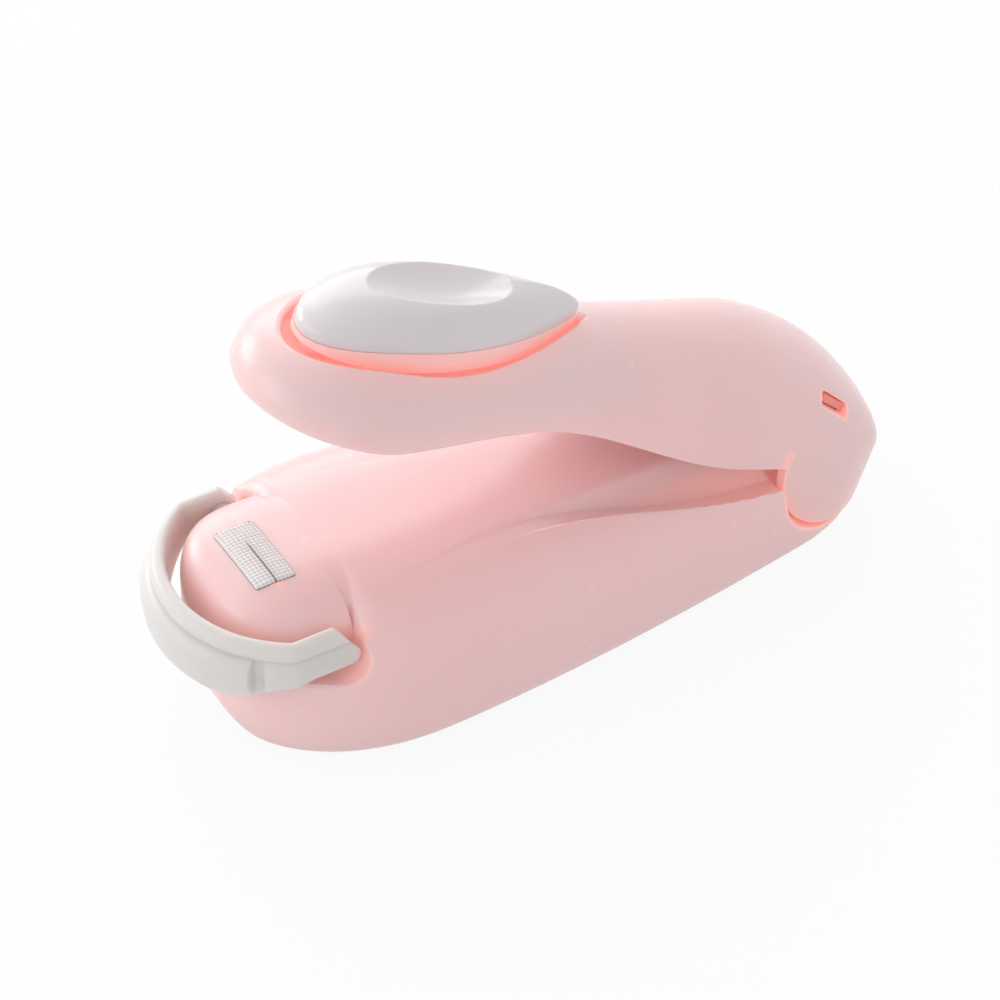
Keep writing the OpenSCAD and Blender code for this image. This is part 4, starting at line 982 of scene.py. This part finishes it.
def both_limbs(limb, crown):
    """Values along the whole bail: the near limb's, the crown's, and the limb's again in reverse."""
    return np.concatenate([limb, crown, limb[::-1]])


def near_tip(along, length):
    """1 at the tip of a limb, falling to 0 at a length from it."""
    return np.clip(1 - (bail_end - along) / length, 0, 1)


half_crown = np.unique(np.concatenate([
    np.linspace(0, grip_end, 44), np.linspace(grip_end, grip_end + grip_step, 8),
    np.linspace(grip_end + grip_step, recess_end - recess_step, 8),
    np.linspace(recess_end - recess_step, recess_end, 6), np.linspace(recess_end, corner, 16)]))
crown_angle = np.concatenate([half_crown[::-1], -half_crown[1:]])
from_middle = np.abs(crown_angle)
turned = smooth(corner - corner_turn_len, corner, from_middle)
facing = np.radians(crown_angle + corner_turn * np.sign(crown_angle) * turned)
crown_line = np.column_stack([crown_mid_x - crown_r * np.cos(np.radians(crown_angle)),
                              -crown_r * np.sin(np.radians(crown_angle))])
crown_out = -np.column_stack([np.cos(facing), np.sin(facing)])
limb_x = np.concatenate([bail_end - tip_len * (1 - np.cos(np.linspace(0, np.pi / 2, 9))),
                         np.linspace(bail_end - 1.1, corner_x - pivot_x + 0.6, 18)])
limb_line = np.column_stack([pivot_x + limb_x, np.full(len(limb_x), -bail_half_w)])
limb_out = np.tile([0.0, -1.0], (len(limb_x), 1))
flip = np.array([1, -1])
bail_line = np.concatenate([limb_line, crown_line, limb_line[::-1] * flip])
bail_out = np.concatenate([limb_out, crown_out, limb_out[::-1] * flip])
level_limb, level_crown = 0 * limb_x, 0 * crown_angle
bail_bulge = both_limbs(level_limb, 1 - smooth(grip_end, grip_end + 1.2, from_middle))
recess_start = smooth(grip_end + 0.4, grip_end + 1.3, from_middle)
bail_recess = both_limbs(level_limb, recess_start * (1 - smooth(recess_end - 0.7, recess_end, from_middle)))
limb_path = np.clip(grip_drop_start - limb_x, 0, None)
crown_path = grip_drop_start - (corner_x - pivot_x) + np.radians(corner - from_middle) * crown_r
bail_drop = grip_drop * smooth(0, grip_drop_len, both_limbs(limb_path, crown_path))
bail_lift = both_limbs(tip_lift * near_tip(limb_x, tip_len) ** 1.6, level_crown)
bail_slant = both_limbs(tip_slant * near_tip(limb_x, tip_slant_len), level_crown)
band = rounded(band_outline(bail_bulge, bail_drop, bail_lift, bail_recess), band_round_r, 7)
tip_round = 1 - np.sqrt(1 - near_tip(limb_x, tip_round_len) ** 2)
bail_shrink = tip_shrink * both_limbs(tip_round, level_crown)[:, None, None]
band = band + (band.mean(axis=1, keepdims=True) - band) * bail_shrink
bail_plan = bail_line[:, None] + bail_out[:, None] * band[..., :1]
bail_plan[..., 0] -= bail_slant[:, None] * np.clip(1 - (bail_top_z - band[..., 1]) / tip_fall, 0, 1)
bail = skin("bail_band", np.concatenate([bail_plan, band[..., 1:]], axis=-1), capped=True)
bail_white = (0.71, 0.70, 0.69, 1)
bail_warm = (0.68, 0.665, 0.65, 1)
bail_glow_reach = (0.0032, 0.0024, 0.0019)
bail_finish = Finish("bail_white", {"IOR": 1.47, "Subsurface Weight": 0.5, "Subsurface Scale": 1.0,
                                    "Subsurface Radius": bail_glow_reach})
bail_finish.paint("Base Color", bail_finish.blend(bail_finish.noise(size=8), bail_white, bail_warm))
bail_finish.paint("Roughness", 0.32 + 0.12 * bail_finish.noise(size=2.0))
bail_finish.relief(bail_finish.noise(size=0.6), depth=0.008)
shade(bail, bail_finish.material)
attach(bail, "bail")
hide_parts("safety_bail")

pin_r = 1.5
pin_end_r = pin_r - 0.3
pin_end = head_half_w - wall - 0.4
pin_steps = ((pin_r, bail_half_w + 0.4), (pin_r, bail_half_w - 0.2), (pin_r, pin_end + 0.3),
             (pin_end_r, pin_end))
for side, name in ((-1, "bail_pin_near"), (1, "bail_pin_far")):
    pin_rings = np.concatenate([
        prism(circle(radius, (pivot_x, pivot_z)), [side * end], 1) for radius, end in pin_steps])
    bail_pin = skin(name, pin_rings, capped=True)
    shade(bail_pin, bail_finish.material)
    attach(bail_pin, "bail")

# Heater tape
# Woven white glass cloth stretched over the heating wire and tucked down at both ends: a plain weave of flat
# yarns with painted shade between them, and a dark line of painted shade where the wire lies below it.
yarn_pitch = 0.57
yarn_rise = 0.11
yarn_swell = 0.14
yarn_flat = 0.98
tape_t = 0.35
tape_tuck = 3.0
tape_crown = 0.036
tape_bend_r = 0.45
tape_follows_head = 0.9
wire_groove = 0.1
wire_groove_half = 0.18
wire_shows_to = (0.5, 3.2)
wire_shade_half = 0.11
wire_shade_spread = 0.8
edge_fall = 0.2


def tape_line(s):
    """Place (y, height) at a distance along the tape from its middle: a low crown, a round bend, then
    straight down into the block's window."""
    half = tape_len / 2
    flat = half - tape_bend_r
    fall = tape_crown * (np.minimum(np.abs(s), flat) / half) ** 2
    turn = np.clip((np.abs(s) - flat) / tape_bend_r, 0, np.pi / 2)
    down = np.clip(np.abs(s) - flat - tape_bend_r * np.pi / 2, 0, None)
    y = np.sign(s) * (np.minimum(np.abs(s), flat) + tape_bend_r * np.sin(turn))
    return y, -fall - tape_bend_r * (1 - np.cos(turn)) - down


def weave_height(p, s):
    """Height of a plain weave: each yarn is an arched ridge that rises and dips by a cosine, over at every
    second crossing, and the higher of the two yarns shows."""
    warp = np.floor(p / yarn_pitch)
    weft = np.floor(s / yarn_pitch)
    across_warp = 2 * (p / yarn_pitch - warp) - 1
    across_weft = 2 * (s / yarn_pitch - weft) - 1
    wave = yarn_rise * (1 - 2 * np.mod(warp + weft, 2))
    warp_ridge = yarn_swell * np.sqrt(1 - yarn_flat * across_warp ** 2)
    weft_ridge = yarn_swell * np.sqrt(1 - yarn_flat * across_weft ** 2)
    warp_z = wave * np.cos(across_weft * np.pi / 2) + warp_ridge
    weft_z = -wave * np.cos(across_warp * np.pi / 2) + weft_ridge
    return np.maximum(warp_z, weft_z) - yarn_rise - yarn_swell


def head_height(x, y):
    """Height of the head's skin: a superellipse across it under the line of its crown."""
    crown = head_crown(x, 0)
    spring = np.minimum(head_arch_z, crown - head_least_h)
    return spring + (crown - spring) * round_end(np.abs(y) / head_half(x, 0), head_power)


def wire_shows(y):
    """1 where the wire shows through the tape, fading to 0 towards its far end."""
    return 1 - smooth(*wire_shows_to, y)


def tape_sheet(level):
    """The tape's grid at a height above its line, square to it."""
    return np.stack([p, line_y - slope[..., 1] * level, line_z + slope[..., 0] * level], axis=-1)


flat_reach = tape_len / 2 - tape_bend_r + tape_bend_r * np.pi / 2 + tape_tuck
grid_p = np.linspace(-tape_w / 2, tape_w / 2, 88)
grid_s = np.linspace(-flat_reach, flat_reach, 270)
p, s = np.meshgrid(grid_p, grid_s)
line_y, line_z = tape_line(s)
step_y, step_z = tape_line(s + 0.01)
slope = np.stack([step_y - line_y, step_z - line_z], axis=-1)
slope = slope / np.linalg.norm(slope, axis=-1, keepdims=True)
on_head = np.abs(s) < tape_len / 2
head_middle = head_height(np.full(1, tape_x), np.zeros(1))
head_fall = head_middle - head_height(tape_x + p, line_y) - p * math.tan(closed_tilt)
head_fall = np.where(on_head, head_fall, 0.0)
head_fall = np.where(on_head, head_fall, head_fall.max(axis=0, keepdims=True))
line_z = line_z - tape_follows_head * head_fall
groove = wire_groove * np.exp(-(p / wire_groove_half) ** 2) * wire_shows(line_y)
upper = weave_height(p, s) - groove - edge_fall * (2 * p / tape_w) ** 4
tape_rings = np.concatenate([tape_sheet(upper), tape_sheet(-tape_t)[:, ::-1]], axis=1)
tape = skin("tape_weave", tilted(tape_rings, tape_place, closed_tilt), capped=True)
x, y, z = points_of(tape)
off_wire, _ = untilted(x, z, tape_place, closed_tilt)
# Painted shade: a thin dark line along the wire's groove, with a faint grey beside it, stands in for the
# groove's shade
near_wire = 0.9 * np.exp(-(off_wire / wire_shade_half) ** 2) + 0.1 * np.exp(-(off_wire / wire_shade_spread) ** 2)
mark(tape, "wire_shade", near_wire * wire_shows(y))
# Painted shade in the hollows between the yarns, deeper where the weave lies lower
mark(tape, "yarn_hollow_shade", (-weave_height(off_wire, y) / (yarn_rise + yarn_swell)) ** 1.5)
tape_white = (0.90, 0.895, 0.885, 1)
tape_worn = (0.82, 0.80, 0.79, 1)
wire_shade_dark = (0.13, 0.10, 0.10, 1)
yarn_shade = (0.42, 0.38, 0.38, 1)
yarn_shade_share = 0.75
tape_sharp_deg = 60
tape_finish = Finish("glass_cloth", {"IOR": 1.5, "Sheen Weight": 0.15})
cloth = tape_finish.blend(tape_finish.noise(size=1.1, detail=4.0), tape_white, tape_worn)
# The painted shade between the yarns darkens the cloth towards yarn_shade
cloth = tape_finish.blend(tape_finish.marked("yarn_hollow_shade") * yarn_shade_share, cloth, yarn_shade)
# The dark line along the wire is painted shade
tape_finish.paint("Base Color", tape_finish.blend(tape_finish.marked("wire_shade"), cloth, wire_shade_dark))
tape_finish.paint("Roughness", 0.5 + 0.2 * tape_finish.noise(size=0.2))
tape_finish.relief(tape_finish.noise(size=0.07), depth=0.02)
shade(tape, tape_finish.material, tape_sharp_deg)
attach(tape, "heater")
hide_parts("heater_tape")

# Inner pieces
# What the shells hold: grey frame, cells, brass contacts, steel springs, pins and screws, the heat-proof
# block with its wire, and the silicone pad on its foot. They keep their own solids and get their finishes
# here. Two springs get meshes of their own, and the red lead is replaced by a copy of its own.


def moulded(name, colour, darker, roughness):
    """Plain moulded plastic: clouded colour, grain in its gloss and a fine spark-eroded texture."""
    finish = Finish(name, {"IOR": 1.47})
    finish.paint("Base Color", finish.blend(finish.noise(size=6), colour, darker))
    finish.paint("Roughness", roughness + 0.15 * finish.noise(size=1.2))
    finish.relief(finish.noise(size=0.35), depth=0.01)
    return finish


def metal(name, colour, darker, roughness):
    """Drawn or rolled metal: uneven tarnish and fine scratches."""
    finish = Finish(name, {"Metallic": 1.0})
    finish.paint("Base Color", finish.blend(finish.noise(size=2.5, detail=4.0), colour, darker))
    finish.paint("Roughness", roughness + 0.2 * finish.noise(size=0.5, detail=4.0))
    finish.relief(finish.noise(size=0.2), depth=0.004)
    return finish


finishes = {
    "frame_grey": moulded("frame_grey", (0.30, 0.30, 0.31, 1), (0.24, 0.24, 0.25, 1), 0.4),
    "steel": metal("spring_steel", (0.66, 0.66, 0.67, 1), (0.50, 0.50, 0.51, 1), 0.2),
    "brass": metal("contact_brass", (0.78, 0.58, 0.26, 1), (0.62, 0.44, 0.20, 1), 0.22),
    "cell": moulded("cell_wrap", (0.09, 0.10, 0.11, 1), (0.06, 0.07, 0.08, 1), 0.25),
    "block": moulded("heat_proof_ivory", (0.74, 0.66, 0.60, 1), (0.66, 0.58, 0.52, 1), 0.55),
    "wire": metal("heating_wire", (0.24, 0.22, 0.21, 1), (0.16, 0.15, 0.14, 1), 0.4),
    "pad": moulded("silicone_pad", (0.78, 0.77, 0.74, 1), (0.72, 0.71, 0.68, 1), 0.5),
    "foot": moulded("foot_white", (0.80, 0.79, 0.78, 1), (0.75, 0.74, 0.73, 1), 0.35),
    "lead": moulded("lead_red", (0.55, 0.05, 0.04, 1), (0.45, 0.04, 0.035, 1), 0.35),
    "cover": pink_moulding("cover_pink"),
    "hook": moulded("hook_red_pink", (0.90, 0.34, 0.30, 1), (0.86, 0.30, 0.27, 1), 0.3),
}
finish_nodes = {
    "frame_grey": ("inner_frame",),
    "hook": ("hinge_cradle",),
    "steel": ("frame_screws", "liner_screws", "hinge_pin", "hinge_spring", "front_cell_spring",
              "rear_cell_spring", "carriage_springs", "button_spring"),
    "brass": ("front_contact", "switch_contact", "bridge_contact", "heater_terminals"),
    "cell": ("cell_left", "cell_right"),
    "block": ("heater_carriage",),
    "wire": ("heater_wire",),
    "pad": ("press_pad",),
    "foot": ("press_foot",),
    "lead": ("heater_lead",),
    "cover": ("battery_cover", "arm_liner"),
}
for finish_name, nodes in finish_nodes.items():
    for node in nodes:
        for slot in frame["nodes"][node].material_slots:
            slot.material = finishes[finish_name].material


def box_face(box, end):
    """Middle of a box's lower (0) or upper (1) face."""
    middle = (box[0] + box[1]) / 2
    middle.z = box[end].z
    return middle


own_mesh(frame["nodes"]["button_spring"])
carriage_low = box_face(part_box("carriage_springs"), 0)
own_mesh(frame["nodes"]["carriage_springs"])
lead_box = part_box("heater_lead")
lead_low, lead_high = box_face(lead_box, 0), box_face(lead_box, 1)
lead_mesh = frame["nodes"]["heater_lead"].data.copy()
lead_mesh.transform(frame["nodes"]["heater_lead"].matrix_world)
lead = bpy.data.objects.new("bending_lead", lead_mesh)
scene.collection.objects.link(lead)
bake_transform(lead)
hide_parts("heater_lead")
